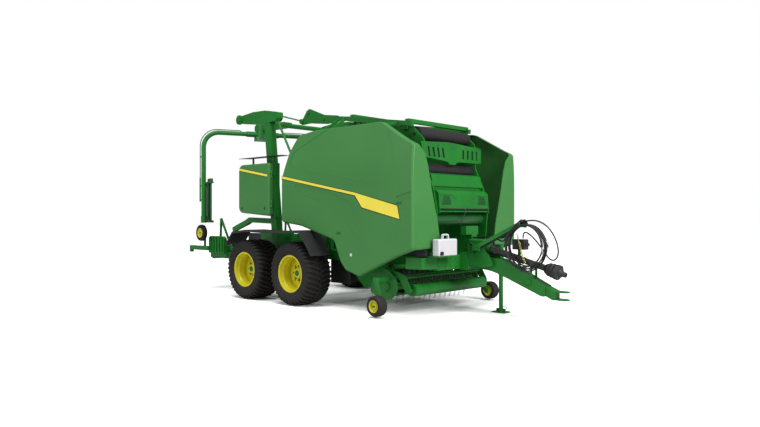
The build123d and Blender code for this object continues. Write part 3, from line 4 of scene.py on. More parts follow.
import bmesh
import bpy
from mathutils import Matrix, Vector


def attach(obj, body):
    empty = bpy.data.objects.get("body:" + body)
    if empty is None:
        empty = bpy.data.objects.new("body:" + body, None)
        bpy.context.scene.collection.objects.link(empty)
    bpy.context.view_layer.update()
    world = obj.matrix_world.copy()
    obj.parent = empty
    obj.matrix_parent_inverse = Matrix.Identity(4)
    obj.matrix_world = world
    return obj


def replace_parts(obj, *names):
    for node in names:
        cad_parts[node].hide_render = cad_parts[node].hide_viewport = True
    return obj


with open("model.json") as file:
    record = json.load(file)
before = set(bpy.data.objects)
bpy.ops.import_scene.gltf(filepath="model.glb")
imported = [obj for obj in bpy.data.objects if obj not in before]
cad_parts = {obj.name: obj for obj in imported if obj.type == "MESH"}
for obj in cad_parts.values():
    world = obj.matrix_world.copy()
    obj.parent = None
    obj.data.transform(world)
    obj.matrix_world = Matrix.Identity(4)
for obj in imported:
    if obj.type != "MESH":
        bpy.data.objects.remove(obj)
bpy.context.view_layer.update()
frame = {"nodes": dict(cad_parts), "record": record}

ORIGIN_X = 0.161
SIDES = ((-1, "right"), (1, "left"))


def at(x, y, z):
    """Point of the part's own drawing in millimetres, in the frame's metres."""
    return Vector((x / 1000 - ORIGIN_X, y / 1000, z / 1000))


# Materials

CLOUD_DETAIL = 5
GRAIN_DETAIL = 3
GRAIN_DEPTH = 0.002
DIRT_SCALE = 14
DIRT_DETAIL = 8
DUST_TOP = 1.3
ROUGH_SPREAD = 0.07


def linear(value):
    """Screen value 0 to 255 as scene linear light."""
    value = value / 255
    return value / 12.92 if value <= 0.04045 else ((value + 0.055) / 1.055) ** 2.4


def colour(r, g, b):
    return (linear(r), linear(g), linear(b), 1)


def noise_node(tree, place, scale, detail):
    node = tree.nodes.new("ShaderNodeTexNoise")
    node.inputs["Scale"].default_value = scale
    node.inputs["Detail"].default_value = detail
    tree.links.new(place, node.inputs["Vector"])
    return node


def dusted(tree, place, shade, dust, dust_rgb):
    """Shade with cloudy dust that is thickest at the ground and ends at DUST_TOP."""
    link = tree.links.new
    split = tree.nodes.new("ShaderNodeSeparateXYZ")
    link(place, split.inputs["Vector"])
    fall = tree.nodes.new("ShaderNodeMapRange")
    fall.inputs["From Min"].default_value = DUST_TOP
    fall.inputs["From Max"].default_value = 0.0
    fall.inputs["To Min"].default_value = 0.0
    fall.inputs["To Max"].default_value = dust
    link(split.outputs["Z"], fall.inputs["Value"])
    dirt = noise_node(tree, place, DIRT_SCALE, DIRT_DETAIL)
    times = tree.nodes.new("ShaderNodeMath")
    times.operation = "MULTIPLY"
    link(fall.outputs["Result"], times.inputs[0])
    link(dirt.outputs["Fac"], times.inputs[1])
    mix = tree.nodes.new("ShaderNodeMixRGB")
    mix.inputs["Color2"].default_value = colour(*dust_rgb)
    link(times.outputs["Value"], mix.inputs["Fac"])
    link(shade, mix.inputs["Color1"])
    return mix.outputs["Color"]


def material(name, rgb, rough=0.5, metal=0.0, coat=0.0, vary=0.06, spots=2.2, grain=900, bump=0.04,
             dust=0.0, dust_rgb=(120, 112, 96), specular=0.5, coat_rough=0.12, streak=None):
    """Procedural finish: colour clouds, fine roughness changes, grain bump and dust that gathers low down."""
    mat = bpy.data.materials.new(name)
    mat.use_nodes = True
    tree = mat.node_tree
    shader = tree.nodes["Principled BSDF"]
    link = tree.links.new
    place = tree.nodes.new("ShaderNodeTexCoord").outputs["Object"]
    cloud = noise_node(tree, place, spots, CLOUD_DETAIL)
    ramp = tree.nodes.new("ShaderNodeValToRGB")
    base = colour(*rgb)[:3]
    ramp.color_ramp.elements[0].position = 0.3
    ramp.color_ramp.elements[0].color = [c * (1 - vary) for c in base] + [1]
    ramp.color_ramp.elements[1].position = 0.7
    ramp.color_ramp.elements[1].color = [min(1, c * (1 + vary) + vary * 0.01) for c in base] + [1]
    link(cloud.outputs["Fac"], ramp.inputs["Fac"])
    shade = ramp.outputs["Color"]
    fine = noise_node(tree, place, grain, GRAIN_DETAIL)
    if streak:
        stretch = tree.nodes.new("ShaderNodeMapping")
        stretch.inputs["Scale"].default_value = streak
        link(place, stretch.inputs["Vector"])
        link(stretch.outputs["Vector"], fine.inputs["Vector"])
    if dust:
        shade = dusted(tree, place, shade, dust, dust_rgb)
    link(shade, shader.inputs["Base Color"])
    spread = tree.nodes.new("ShaderNodeMapRange")
    spread.inputs["To Min"].default_value = max(0.02, rough - ROUGH_SPREAD)
    spread.inputs["To Max"].default_value = min(1, rough + ROUGH_SPREAD)
    link(cloud.outputs["Fac"], spread.inputs["Value"])
    link(spread.outputs["Result"], shader.inputs["Roughness"])
    relief = tree.nodes.new("ShaderNodeBump")
    relief.inputs["Strength"].default_value = bump
    relief.inputs["Distance"].default_value = GRAIN_DEPTH
    link(fine.outputs["Fac"], relief.inputs["Height"])
    link(relief.outputs["Normal"], shader.inputs["Normal"])
    shader.inputs["Metallic"].default_value = metal
    shader.inputs["Coat Weight"].default_value = coat
    shader.inputs["Coat Roughness"].default_value = coat_rough
    shader.inputs["Specular IOR Level"].default_value = specular
    return mat


PANEL = material("panel_green", (60, 124, 60), rough=0.45, coat=0.1, vary=0.05, spots=0.9, grain=700,
                 bump=0.02, specular=0.3, coat_rough=0.3)
FRAME = material("frame_green", (22, 112, 34), rough=0.45, coat=0.1, vary=0.1, spots=3, grain=500,
                 bump=0.05, dust=0.08, dust_rgb=(66, 92, 50), specular=0.3)
DEEP = material("deep_green", (20, 84, 34), rough=0.45, coat=0.2, vary=0.12, spots=3, grain=500,
                bump=0.05, dust=0.1)
YELLOW = material("rim_yellow", (212, 202, 22), rough=0.38, coat=0.35, vary=0.06, spots=3, grain=600,
                  bump=0.03, dust=0.08)
STRIPE = material("stripe_yellow", (240, 222, 70), rough=0.4, coat=0.2, vary=0.03, spots=4, grain=900,
                  bump=0.01)
DARK = material("outline_dark", (24, 44, 20), rough=0.5, vary=0.1, grain=900, bump=0.02)
TYRE = material("tyre_rubber", (25, 24, 26), rough=0.72, vary=0.16, spots=9, grain=260, bump=0.12,
                dust=0.16, specular=0.25)
PLASTIC = material("black_plastic", (30, 29, 32), rough=0.5, vary=0.12, spots=6, grain=900, bump=0.12,
                   dust=0.1)
RUBBER = material("roller_rubber", (24, 22, 24), rough=0.62, vary=0.1, spots=5, grain=400, bump=0.08)
HOSE = material("hose_rubber", (20, 20, 22), rough=0.5, vary=0.15, spots=12, grain=1200, bump=0.06)
WHITE = material("white_plastic", (206, 204, 208), rough=0.38, vary=0.02, spots=5, grain=500, bump=0.03)
STEEL = material("bright_steel", (176, 178, 176), rough=0.32, metal=1.0, vary=0.12, spots=14, grain=400,
                 bump=0.08, streak=(1, 30, 1))
DULL = material("dull_steel", (112, 112, 108), rough=0.5, metal=0.9, vary=0.2, spots=18, grain=300, bump=0.1)
CHAIN = material("chain_zinc", (214, 208, 120), rough=0.34, metal=0.75, vary=0.18, spots=30, grain=500,
                 bump=0.06)
SHADOW = material("slot_shade", (14, 22, 16), rough=0.7, vary=0.1, grain=500, bump=0.02)

BY_SLOT = {"frame_green": FRAME, "panel_green": PANEL, "tyre": TYRE, "rim_yellow": YELLOW,
           "black_plastic": PLASTIC, "roller_rubber": RUBBER, "hose_rubber": HOSE, "white_plastic": WHITE,
           "dispenser_metal": DEEP}
slot_of = {part["node"]: part["material_slot"] for part in frame["record"]["subparts"]}
for name, node in frame["nodes"].items():
    node.data.materials.clear()
    node.data.materials.append(BY_SLOT[slot_of[name]])
frame["nodes"]["roller_lower"].data.materials[0] = DEEP


# Mesh helpers: shapes are gathered in bmesh objects and then ride on one body

def place_piece(obj, body):
    bpy.context.scene.collection.objects.link(obj)
    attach(obj, body)


class Shape:
    """Faces collected for one scene piece."""

    def __init__(self):
        self.mesh = bmesh.new()

    def box(self, centre, size, bevel=0.0):
        """Box about its centre, its edges rounded by bevel as far as the thinnest side allows."""
        cut = min(bevel, 0.45 * min(size))
        part = bmesh.new()
        bmesh.ops.create_cube(part, size=1)
        for vert in part.verts:
            vert.co = Vector([c * s for c, s in zip(vert.co, size)])
        if cut > 0:
            bmesh.ops.bevel(part, geom=part.edges[:], offset=cut, segments=2, affect="EDGES", profile=0.5)
        for vert in part.verts:
            vert.co += Vector(centre)
        data = bpy.data.meshes.new("part")
        part.to_mesh(data)
        part.free()
        self.mesh.from_mesh(data)
        bpy.data.meshes.remove(data)

    def tube(self, start, end, radius, sides=16, radius_end=None):
        """Closed round bar or cone between two points."""
        start, end = Vector(start), Vector(end)
        axis = (end - start).normalized()
        side = axis.orthogonal().normalized()
        other = axis.cross(side)
        top = radius if radius_end is None else radius_end
        rings = []
        for centre, r in ((start, radius), (end, top)):
            rings.append([self.mesh.verts.new(centre + side * r * cos(2 * pi * i / sides)
                                              + other * r * sin(2 * pi * i / sides)) for i in range(sides)])
        for i in range(sides):
            j = (i + 1) % sides
            self.mesh.faces.new([rings[0][i], rings[0][j], rings[1][j], rings[1][i]])
        self.mesh.faces.new(rings[0][::-1])
        self.mesh.faces.new(rings[1])

    def lathe(self, centre, axis, profile, sides=48):
        """Turned body: profile points (radius, distance along the axis)."""
        axis = Vector(axis).normalized()
        side = axis.orthogonal().normalized()
        other = axis.cross(side)
        rings = []
        for i in range(sides):
            angle = 2 * pi * i / sides
            spoke = side * cos(angle) + other * sin(angle)
            rings.append([self.mesh.verts.new(centre + spoke * r + axis * d) for r, d in profile])
        for a, b in zip(rings, rings[1:] + rings[:1]):
            for k in range(len(profile) - 1):
                self.mesh.faces.new([a[k], a[k + 1], b[k + 1], b[k]])

    def prism(self, points, shift):
        """Flat polygon pushed along shift."""
        low = [self.mesh.verts.new(p) for p in points]
        high = [self.mesh.verts.new(p + Vector(shift)) for p in points]
        count = len(points)
        self.mesh.faces.new(low[::-1])
        self.mesh.faces.new(high)
        for i in range(count):
            j = (i + 1) % count
            self.mesh.faces.new([low[i], low[j], high[j], high[i]])

    def ribbon(self, pairs, shift):
        """Strip between two lines of points, pushed along shift."""
        shift = Vector(shift)
        rows = [[self.mesh.verts.new(p + s) for p in pair for s in (Vector(), shift)] for pair in pairs]
        for a, b in zip(rows, rows[1:]):
            self.mesh.faces.new([a[0], b[0], b[2], a[2]])
            self.mesh.faces.new([a[1], a[3], b[3], b[1]])
            self.mesh.faces.new([a[0], a[1], b[1], b[0]])
            self.mesh.faces.new([a[2], b[2], b[3], a[3]])
        for row in (rows[0], rows[-1]):
            self.mesh.faces.new([row[0], row[2], row[3], row[1]])

    def bolt(self, centre, axis, radius=0.012, height=0.009):
        """Hexagon head on its washer."""
        axis = Vector(axis).normalized()
        washer = centre + axis * height * 0.25
        self.tube(centre - axis * 0.002, washer, radius * 1.35, sides=14)
        self.tube(washer, centre + axis * height, radius, sides=6, radius_end=radius * 0.94)

    def finish(self, name, body, mat, angle=35):
        """Smooth piece with its edges kept sharp above angle, riding on a body."""
        bmesh.ops.recalc_face_normals(self.mesh, faces=self.mesh.faces[:])
        data = bpy.data.meshes.new(name)
        self.mesh.to_mesh(data)
        self.mesh.free()
        for face in data.polygons:
            face.use_smooth = True
        data.set_sharp_from_angle(angle=radians(angle))
        data.materials.append(mat)
        obj = bpy.data.objects.new(name, data)
        place_piece(obj, body)
        return obj


def hose(name, points, radius):
    """Round rubber tube on the chassis along a NURBS line through control points given in metres."""
    data = bpy.data.curves.new(name, "CURVE")
    data.dimensions = "3D"
    data.resolution_u = 8
    data.bevel_depth = radius
    data.bevel_resolution = 3
    data.use_fill_caps = True
    line = data.splines.new("NURBS")
    line.points.add(len(points) - 1)
    for spot, point in zip(line.points, points):
        spot.co = (*point, 1)
    line.order_u = 3
    line.use_endpoint_u = True
    data.materials.append(HOSE)
    obj = bpy.data.objects.new(name, data)
    place_piece(obj, "chassis")
    return obj


def line_length(obj):
    """Length of a curve's own line, from an evaluated copy without its bevel."""
    copy = obj.data.copy()
    copy.bevel_depth = 0
    probe = bpy.data.objects.new("probe", copy)
    bpy.context.scene.collection.objects.link(probe)
    mesh = bpy.data.meshes.new_from_object(probe.evaluated_get(bpy.context.evaluated_depsgraph_get()))
    points = [v.co.copy() for v in mesh.vertices]
    bpy.data.objects.remove(probe)
    bpy.data.meshes.remove(mesh)
    return sum((b - a).length for a, b in zip(points, points[1:]))


# Tyres: carcass with sidewall ribs, and two rows of slanted lugs

AXLE_Z = 510
AXLES = (("front", 0), ("rear", -1245))
WHEEL_Y = 1230
# Radius and distance from the wheel's middle plane
CARCASS = [(0.284, 0.206), (0.292, 0.213), (0.301, 0.218), (0.307, 0.229), (0.318, 0.236), (0.330, 0.2415),
           (0.334, 0.2455), (0.340, 0.2455), (0.344, 0.2425), (0.372, 0.2462), (0.376, 0.249), (0.381, 0.249),
           (0.385, 0.2465), (0.412, 0.2465), (0.436, 0.2425), (0.456, 0.232), (0.470, 0.214), (0.478, 0.185),
           (0.482, 0.14), (0.484, 0.07), (0.484, 0.0)]
# Distance from the middle plane, radius of the lug's top and of its base, and turn in degrees
LUG_LINE = [(-0.012, 0.5065, 0.480, 0.0), (0.05, 0.5085, 0.479, 2.6), (0.11, 0.5085, 0.477, 5.0),
            (0.165, 0.506, 0.474, 7.0), (0.205, 0.4985, 0.466, 8.2), (0.232, 0.482, 0.450, 8.9),
            (0.2465, 0.458, 0.432, 9.3), (0.2485, 0.432, 0.420, 9.5)]
LUG_COUNT = 40
LUG_HALF_ANGLE = 1.9
LUG_BASE_SHARE = 1.22
LUG_TOP_SHARE = 0.86


def lug(mesh, centre, side, turn):
    """One slanted lug from the tyre's middle to its shoulder."""
    rows = []
    for place, top, base, skew in LUG_LINE:
        row = []
        for radius, half in ((base, LUG_BASE_SHARE), (top, LUG_TOP_SHARE)):
            for way in (-1, 1):
                angle = radians(turn + skew + way * LUG_HALF_ANGLE * half)
                spoke = Vector((radius * cos(angle), side * place, radius * sin(angle)))
                row.append(mesh.verts.new(centre + spoke))
        rows.append([row[0], row[2], row[3], row[1]])
    for a, b in zip(rows, rows[1:]):
        for k in range(3):
            mesh.faces.new([a[k], a[k + 1], b[k + 1], b[k]])
    mesh.faces.new(rows[0])
    mesh.faces.new(rows[-1][::-1])


def tyre(name, body, node, x, y):
    centre = at(x, y, AXLE_Z)
    shape = Shape()
    profile = [(r, -d) for r, d in CARCASS] + [(r, d) for r, d in CARCASS[-2::-1]]
    shape.lathe(centre, (0, 1, 0), profile, sides=96)
    for side in (-1, 1):
        for index in range(LUG_COUNT):
            lug(shape.mesh, centre, side, 360 / LUG_COUNT * (index + (0.5 if side > 0 else 0)))
    piece = shape.finish(name, body, TYRE, angle=30)
    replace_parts(piece, node)


HUB_PROFILE = [(0.0, 0.074), (0.03, 0.074), (0.046, 0.068), (0.053, 0.056), (0.056, 0.03), (0.066, 0.024),
               (0.074, 0.012), (0.075, 0.0)]
DISC_OUT = 12
CAP_BOLTS = 6
CAP_BOLT_CIRCLE = 40
WHEEL_NUTS = 8
NUT_CIRCLE = 112


def wheel_fittings(name, body, x, y):
    """Nuts, green hub cap with its bolts, and the valve."""
    out = -1 if y < 0 else 1
    disc = y + out * DISC_OUT
    hub = Shape()
    hub.lathe(at(x, disc, AXLE_Z), (0, out, 0), HUB_PROFILE, sides=32)
    for index in range(CAP_BOLTS):
        angle = 2 * pi * index / CAP_BOLTS
        spot = at(x + CAP_BOLT_CIRCLE * cos(angle), disc + out * 68, AXLE_Z + CAP_BOLT_CIRCLE * sin(angle))
        hub.bolt(spot, (0, out, 0), 0.007, 0.006)
    hub.finish(name + "_cap", body, FRAME)
    nuts = Shape()
    for index in range(WHEEL_NUTS):
        angle = 2 * pi * index / WHEEL_NUTS
        centre = at(x + NUT_CIRCLE * cos(angle), disc + out * 14, AXLE_Z + NUT_CIRCLE * sin(angle))
        nuts.bolt(centre, (0, out, 0), 0.017, 0.018)
        nuts.tube(centre, centre + Vector((0, out * 0.03, 0)), 0.009, sides=10)
    nuts.finish(name + "_nuts", body, DULL)
    valve = Shape()
    valve.tube(at(x + 215, disc - out * 10, AXLE_Z), at(x + 232, disc + out * 42, AXLE_Z), 0.006, sides=10)
    valve.finish(name + "_valve", body, PLASTIC)


for axle, x in AXLES:
    for side, word in SIDES:
        tyre(f"tread_{axle}_{word}", f"wheel_{axle}_{word}", f"tyre_{axle}_{word}", x, side * WHEEL_Y)
        wheel_fittings(f"wheel_{axle}_{word}", f"wheel_{axle}_{word}", x, side * WHEEL_Y)


# Stripes, bare plate and trim on the outer skins

SKIN_Y = 1275
BEND_Z = 1900
BEND_R = 3986
# Dark edge, then the yellow band on it: piece, material, lift over the skin, upper and lower line, plate
PANEL_STRIPES = (
    ("stripe_edge_", DARK, 1.2, ((-440, 2094), (1300, 1786)), ((-440, 2036), (1300, 1728)),
     ((1296, 1786), (2158, 1590), (2206, 1380), (1446, 1544), (1296, 1728))),
    ("stripe_", STRIPE, 2.4, ((-436, 2086), (1306, 1777)), ((-436, 2048), (1306, 1739)),
     ((1306, 1777), (2149, 1578), (2192, 1394), (1456, 1558), (1306, 1739))),
)
# The same on the storage covers: piece, material, lift, heights at the rear edge, places along the cover
COVER_REAR_X = -1648
COVER_SLOPE = 0.167
COVER_STRIPES = (
    ("cover_stripe_edge_", DARK, 1.2, (2278, 2222), (-1648, -1400, -1100, -828)),
    ("cover_stripe_", STRIPE, 2.4, (2270, 2232), (-1646, -1400, -1100, -830)),
)
STRIPE_STEPS = 24
STRIPE_DEPTH = 0.0012
PLATE_DEPTH = 0.001


def skin_y(z):
    """Distance of the panel's outer surface from the middle plane, in millimetres."""
    if z <= BEND_Z:
        return SKIN_Y
    return SKIN_Y - BEND_R + sqrt(BEND_R ** 2 - (z - BEND_Z) ** 2)


def on_skin(x, z, side, lift):
    return at(x, side * (skin_y(z) + lift), z)


def skin_strip(shape, upper, lower, side, lift):
    """Strip on the panel between two sloping lines, each given by its two ends."""
    pairs = []
    for index in range(STRIPE_STEPS + 1):
        share = index / STRIPE_STEPS
        top = [a + (b - a) * share for a, b in zip(*upper)]
        low = [a + (b - a) * share for a, b in zip(*lower)]
        pairs.append((on_skin(*top, side, lift), on_skin(*low, side, lift)))
    shape.ribbon(pairs, (0, -side * STRIPE_DEPTH, 0))


for side, word in SIDES:
    for name, mat, lift, upper, lower, plate in PANEL_STRIPES:
        stripe = Shape()
        skin_strip(stripe, upper, lower, side, lift)
        stripe.prism([on_skin(x, z, side, lift) for x, z in plate], (0, -side * PLATE_DEPTH, 0))
        stripe.finish(name + word, "panel_" + word, mat)
    for name, mat, lift, heights, places in COVER_STRIPES:
        stripe = Shape()
        stripe.ribbon([[at(x, side * (SKIN_Y + lift), z - (x - COVER_REAR_X) * COVER_SLOPE) for z in heights]
                       for x in places], (0, -side * STRIPE_DEPTH, 0))
        stripe.finish(name + word, "cover_" + word, mat)


# Pickup reel: drum, tine bars with coil springs and paired wire tines

REEL_X, REEL_Z = 1690, 395
# Half length and radius of each part of the drum, discs from and to their faces
DRUM_HALF_W, DRUM_R = 905, 0.060
SHAFT_HALF_W, SHAFT_R = 927, 0.024
DISC_IN_Y, DISC_R = 917, 0.150
BAR_COUNT = 4
BAR_FIRST_ANGLE = 20
BAR_CIRCLE, BAR_HALF_W, BAR_R = 132, 921, 0.017
TINE_GAPS = 14
TINE_SPAN_Y = 885
TINE_PITCH = 2 * TINE_SPAN_Y / TINE_GAPS
WIRE_OFF_Y, WIRE_R = 13, 0.0032
# Each wire runs through these points: reach from the reel's middle, and degrees that it lags its bar
WIRE_POINTS = ((150, 0), (205, 6), (262, 14))
SPRING_TURNS, SPRING_PITCH, SPRING_R = 3, 4.2, 0.0225


def reel_point(reach, angle):
    return REEL_X + reach * cos(angle), REEL_Z + reach * sin(angle)


def drum_piece(bar_angles):
    drum = Shape()
    drum.tube(at(REEL_X, -DRUM_HALF_W, REEL_Z), at(REEL_X, DRUM_HALF_W, REEL_Z), DRUM_R, sides=32)
    drum.tube(at(REEL_X, -SHAFT_HALF_W, REEL_Z), at(REEL_X, SHAFT_HALF_W, REEL_Z), SHAFT_R, sides=20)
    for side in (-1, 1):
        drum.tube(at(REEL_X, side * DISC_IN_Y, REEL_Z), at(REEL_X, side * SHAFT_HALF_W, REEL_Z), DISC_R,
                  sides=48)
    for angle in bar_angles:
        x, z = reel_point(BAR_CIRCLE, angle)
        drum.tube(at(x, -BAR_HALF_W, z), at(x, BAR_HALF_W, z), BAR_R, sides=14)
    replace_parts(drum.finish("reel_drum", "reel", FRAME), "tine_reel")


def tine(wires, angle, y, way):
    """One coil spring and its wire."""
    x, z = reel_point(BAR_CIRCLE, angle)
    for turn in range(SPRING_TURNS):
        ring = y + way * (3 + turn * SPRING_PITCH)
        wires.tube(at(x, ring - 1.9, z), at(x, ring + 1.9, z), SPRING_R, sides=14)
    wire_y = y + way * WIRE_OFF_Y
    line = [reel_point(reach, angle - radians(lag)) for reach, lag in WIRE_POINTS]
    for (x0, z0), (x1, z1) in zip(line, line[1:]):
        wires.tube(at(x0, wire_y, z0), at(x1, wire_y, z1), WIRE_R, sides=8)


bar_angles = [radians(90 * row + BAR_FIRST_ANGLE) for row in range(BAR_COUNT)]
drum_piece(bar_angles)
wires = Shape()
for angle in bar_angles:
    for gap in range(TINE_GAPS):
        for way in (-1, 1):
            tine(wires, angle, -TINE_SPAN_Y + TINE_PITCH * (gap + 0.5), way)
wires.finish("reel_tines", "reel", DULL)


# Windguard: bright spring fingers over the square stubs, and raised rings on its roller

COMB_COUNT = 25
COMB_HALF_W = 850
RING_COUNT = 5
RING_HALF_W = 700
RING_PROFILE = [(0.088, -0.012), (0.0885, -0.006), (0.0885, 0.006), (0.088, 0.012)]

comb = Shape()
for index in range(COMB_COUNT):
    y = -COMB_HALF_W + 2 * COMB_HALF_W / (COMB_COUNT - 1) * index
    comb.tube(at(1965, y, 516), at(1962, y, 452), 0.0052, sides=10)
comb.finish("comb_fingers", "guard", DULL)
rings = Shape()
for index in range(RING_COUNT):
    y = -RING_HALF_W + 2 * RING_HALF_W // (RING_COUNT - 1) * index
    rings.lathe(at(2070, y, 360), (0, 1, 0), RING_PROFILE, sides=48)
rings.finish("guard_roller_rings", "guard_roller", DEEP)


# Bolts along the frame, in short rows: first point, step, count, axis, radius
BOLT_ROWS = [
    ((2520, -140, 670), (0, 93, 0), 4, (0, 0, -1), 12),
    ((2401, -640, 700), (0, 120, 0), 4, (1, 0, 0), 12),
    ((2401, 280, 700), (0, 120, 0), 4, (1, 0, 0), 12),
    ((2401, -640, 820), (0, 120, 0), 4, (1, 0, 0), 12),
    ((2401, 280, 820), (0, 120, 0), 4, (1, 0, 0), 12),
    ((2131, -690, 2490), (0, 345, 0), 5, (1, 0, 0), 9),
    ((3100, 85, 600), (120, 0, -44), 5, (0, 1, 0), 9),
    ((2560, -140.5, 740), (0, 0, 80), 4, (0, -1, 0), 11),
    ((2560, 140.5, 740), (0, 0, 80), 4, (0, 1, 0), 11),
    ((-2640, -841.5, 640), (-140, 0, 0), 5, (0, -1, 0), 10),
    ((-2640, 841.5, 640), (-140, 0, 0), 5, (0, 1, 0), 10),
    ((-1900, -770.5, 760), (260, 0, 0), 16, (0, -1, 0), 10),
    ((-1900, 770.5, 760), (260, 0, 0), 16, (0, 1, 0), 10),
]
bolts = Shape()
for start, step, count, axis, radius in BOLT_ROWS:
    for index in range(count):
        place = [a + b * index for a, b in zip(start, step)]
        bolts.bolt(at(*place), axis, radius / 1000, radius / 1300)
bolts.finish("frame_bolts", "chassis", DULL)


# Net box: hatched grilles over painted shade, folded lines and the wire guard below it

NET_LOW_Z, NET_TOP_Z = 1545, 1770
NET_LOW_X, NET_LEAN = 2370, 20
GRILLE = ((330, 1600), (560, 1600), (500, 1730), (360, 1730))
GRILLE_UPRIGHTS, GRILLE_BARS = 9, 6
GRILLE_WIRE_R = 0.0028
FOLD_LINE = ((600, 1575), (560, 1745), (300, 1745), (262, 1700), (190, 1700))
WIRE_GUARD = (((2374, -610, 1548), (2374, 610, 1548), 0.006), ((2374, 0, 1548), (2372, 0, 1478), 0.005),
              ((2366, 0, 1478), (2290, 0, 1300), 0.006))


def on_net_box(y, z, lift):
    """Point on the net box's leaning front face, lifted off it by some millimetres."""
    return at(NET_LOW_X - (z - NET_LOW_Z) / (NET_TOP_Z - NET_LOW_Z) * NET_LEAN + lift, y, z)


box_face = Shape()
grille_shade_patch = Shape()
for side in (-1, 1):
    # Painted shade: a near-black patch behind the wires on each side
    grille_shade_patch.prism([on_net_box(side * y, z, 1.5) for y, z in GRILLE], (-0.001, 0, 0))
    for index in range(GRILLE_UPRIGHTS):
        share = index / (GRILLE_UPRIGHTS - 1)
        box_face.tube(on_net_box(side * (335 + 220 * share), 1604, 3),
                      on_net_box(side * (365 + 130 * share), 1726, 3), GRILLE_WIRE_R, sides=6)
    for index in range(GRILLE_BARS):
        z = 1606 + 23 * index
        inset = (z - 1600) / 130
        box_face.tube(on_net_box(side * (332 + 28 * inset), z, 3),
                      on_net_box(side * (558 - 58 * inset), z, 3), GRILLE_WIRE_R, sides=6)
    for (y0, z0), (y1, z1) in zip(FOLD_LINE, FOLD_LINE[1:]):
        box_face.tube(on_net_box(side * y0, z0, 2), on_net_box(side * y1, z1, 2), 0.004, sides=8)
grille_shade_patch.finish("net_grille_shade", "chassis", SHADOW)
box_face.finish("net_box_lines", "chassis", FRAME)
wire = Shape()
for start, end, radius in WIRE_GUARD:
    wire.tube(at(*start), at(*end), radius, sides=10)
wire.finish("net_wire", "chassis", DULL)


# Cords: their routes are those of the part's own drawing. Each lead goes on in loose turns over the hook
# and ends in its coupling

LEAD_A = [(2500.3, 20, 1113), (2600, 20, 1114), (2730, 12, 1126), (2860, -14, 1130), (2990, -62, 1120),
          (3100, -118, 1124), (3176.4, -155, 1142)]
LEAD_B = [(2500.3, 80, 1113), (2590, 80, 1115), (2710, 72, 1128), (2840, 36, 1128), (2960, -28, 1104),
          (3070, -106, 1082), (3151.5, -156, 1076)]
CABLE = [(3421, -92, 1358), (3520, -96, 1374), (3640, -100, 1376), (3756, -100, 1334), (3860, -100, 1246),
         (3936, -100, 1120), (3972, -100, 990), (3962, -100, 896), (3912, -100, 842), (3846, -100, 852),
         (3780, -98, 922), (3700, -94, 1024), (3610, -88, 1116), (3515, -70, 1186), (3430, -30, 1212),
         (3368, 20, 1196), (3336, 56, 1156), (3330, 64, 1120)]
COIL_X = 3506
HOOK_X, HOOK_Z = 3440, 1314
TURN_POINTS = 14
# Piece, route, nodes that it stands for, and its turns: first angle, radius, lane, step of lane, count
HOSES = (("lead_a", LEAD_A, ("hose_lead_a", "hose_coil"), (140, 326, -158, 20, 3.45)),
         ("lead_b", LEAD_B, ("hose_lead_b",), (150, 316, -180, -20, 2.5)))
# Start and end along the hose past its last point, radius and sides
COUPLING = ((-0.012, 0.018, 0.0145, 20), (0.018, 0.036, 0.0165, 6), (0.036, 0.066, 0.0145, 20),
            (0.066, 0.078, 0.0115, 20))
LEAD_R = 0.011
CABLE_R = 0.0100


def coil_turns(first_angle, radius, lane, lane_step, turns):
    """Points of loose turns that hang from the hook, clockwise as seen from the right."""
    points = []
    for index in range(int(turns * TURN_POINTS)):
        done = index / TURN_POINTS
        angle = radians(first_angle - 360 * done)
        r = radius - 11 * done + 7 * sin(2.3 * done + radius)
        middle = HOOK_Z - sqrt(r * r - (COIL_X - HOOK_X) ** 2)
        y = lane + lane_step * done + 4 * sin(1.7 * angle + radius)
        points.append((COIL_X + r * cos(angle), y, middle + r * sin(angle)))
    return points


def coupling(name, last, end):
    """Hydraulic coupling half at a hose's end."""
    way = (end - last).normalized()
    body = Shape()
    for start, stop, radius, sides in COUPLING:
        body.tube(end + way * start, end + way * stop, radius, sides=sides)
    return body.finish(name, "chassis", STEEL)


for name, route, nodes, turns in HOSES:
    points = [at(*p) for p in route + coil_turns(*turns)]
    piece = hose(name, points, LEAD_R)
    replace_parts(piece, *nodes)
    plug = coupling(name + "_coupling", points[-2], points[-1])
    round(line_length(piece), 3)
cable = hose("plug_cable", [at(*p) for p in CABLE], CABLE_R)
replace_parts(cable, "cable_loop")
round(line_length(cable), 3)


# Gauge wheels and the tipper's wheel: tyre and yellow rim on the CAD wheel's own sizes

# Shares of the wheel's radius and of its half width
SMALL_TYRE = ((0.58, -1), (0.86, -1), (0.96, -0.8), (0.985, -0.55), (0.985, -0.42), (1, -0.40), (1, -0.14),
              (0.985, -0.12), (0.985, 0.12), (1, 0.14), (1, 0.40), (0.985, 0.42), (0.985, 0.55), (0.96, 0.8),
              (0.86, 1), (0.58, 1))
SMALL_RIM = ((0.1, -0.8), (0.5, -0.7), (0.585, -0.98), (0.6, -0.9), (0.6, 0.9), (0.585, 0.98), (0.52, 0.9),
             (0.49, 0.45), (0.3, 0.38), (0.25, 0.7), (0.12, 0.74), (0.1, 0.5))
RIM_BOLTS = 5


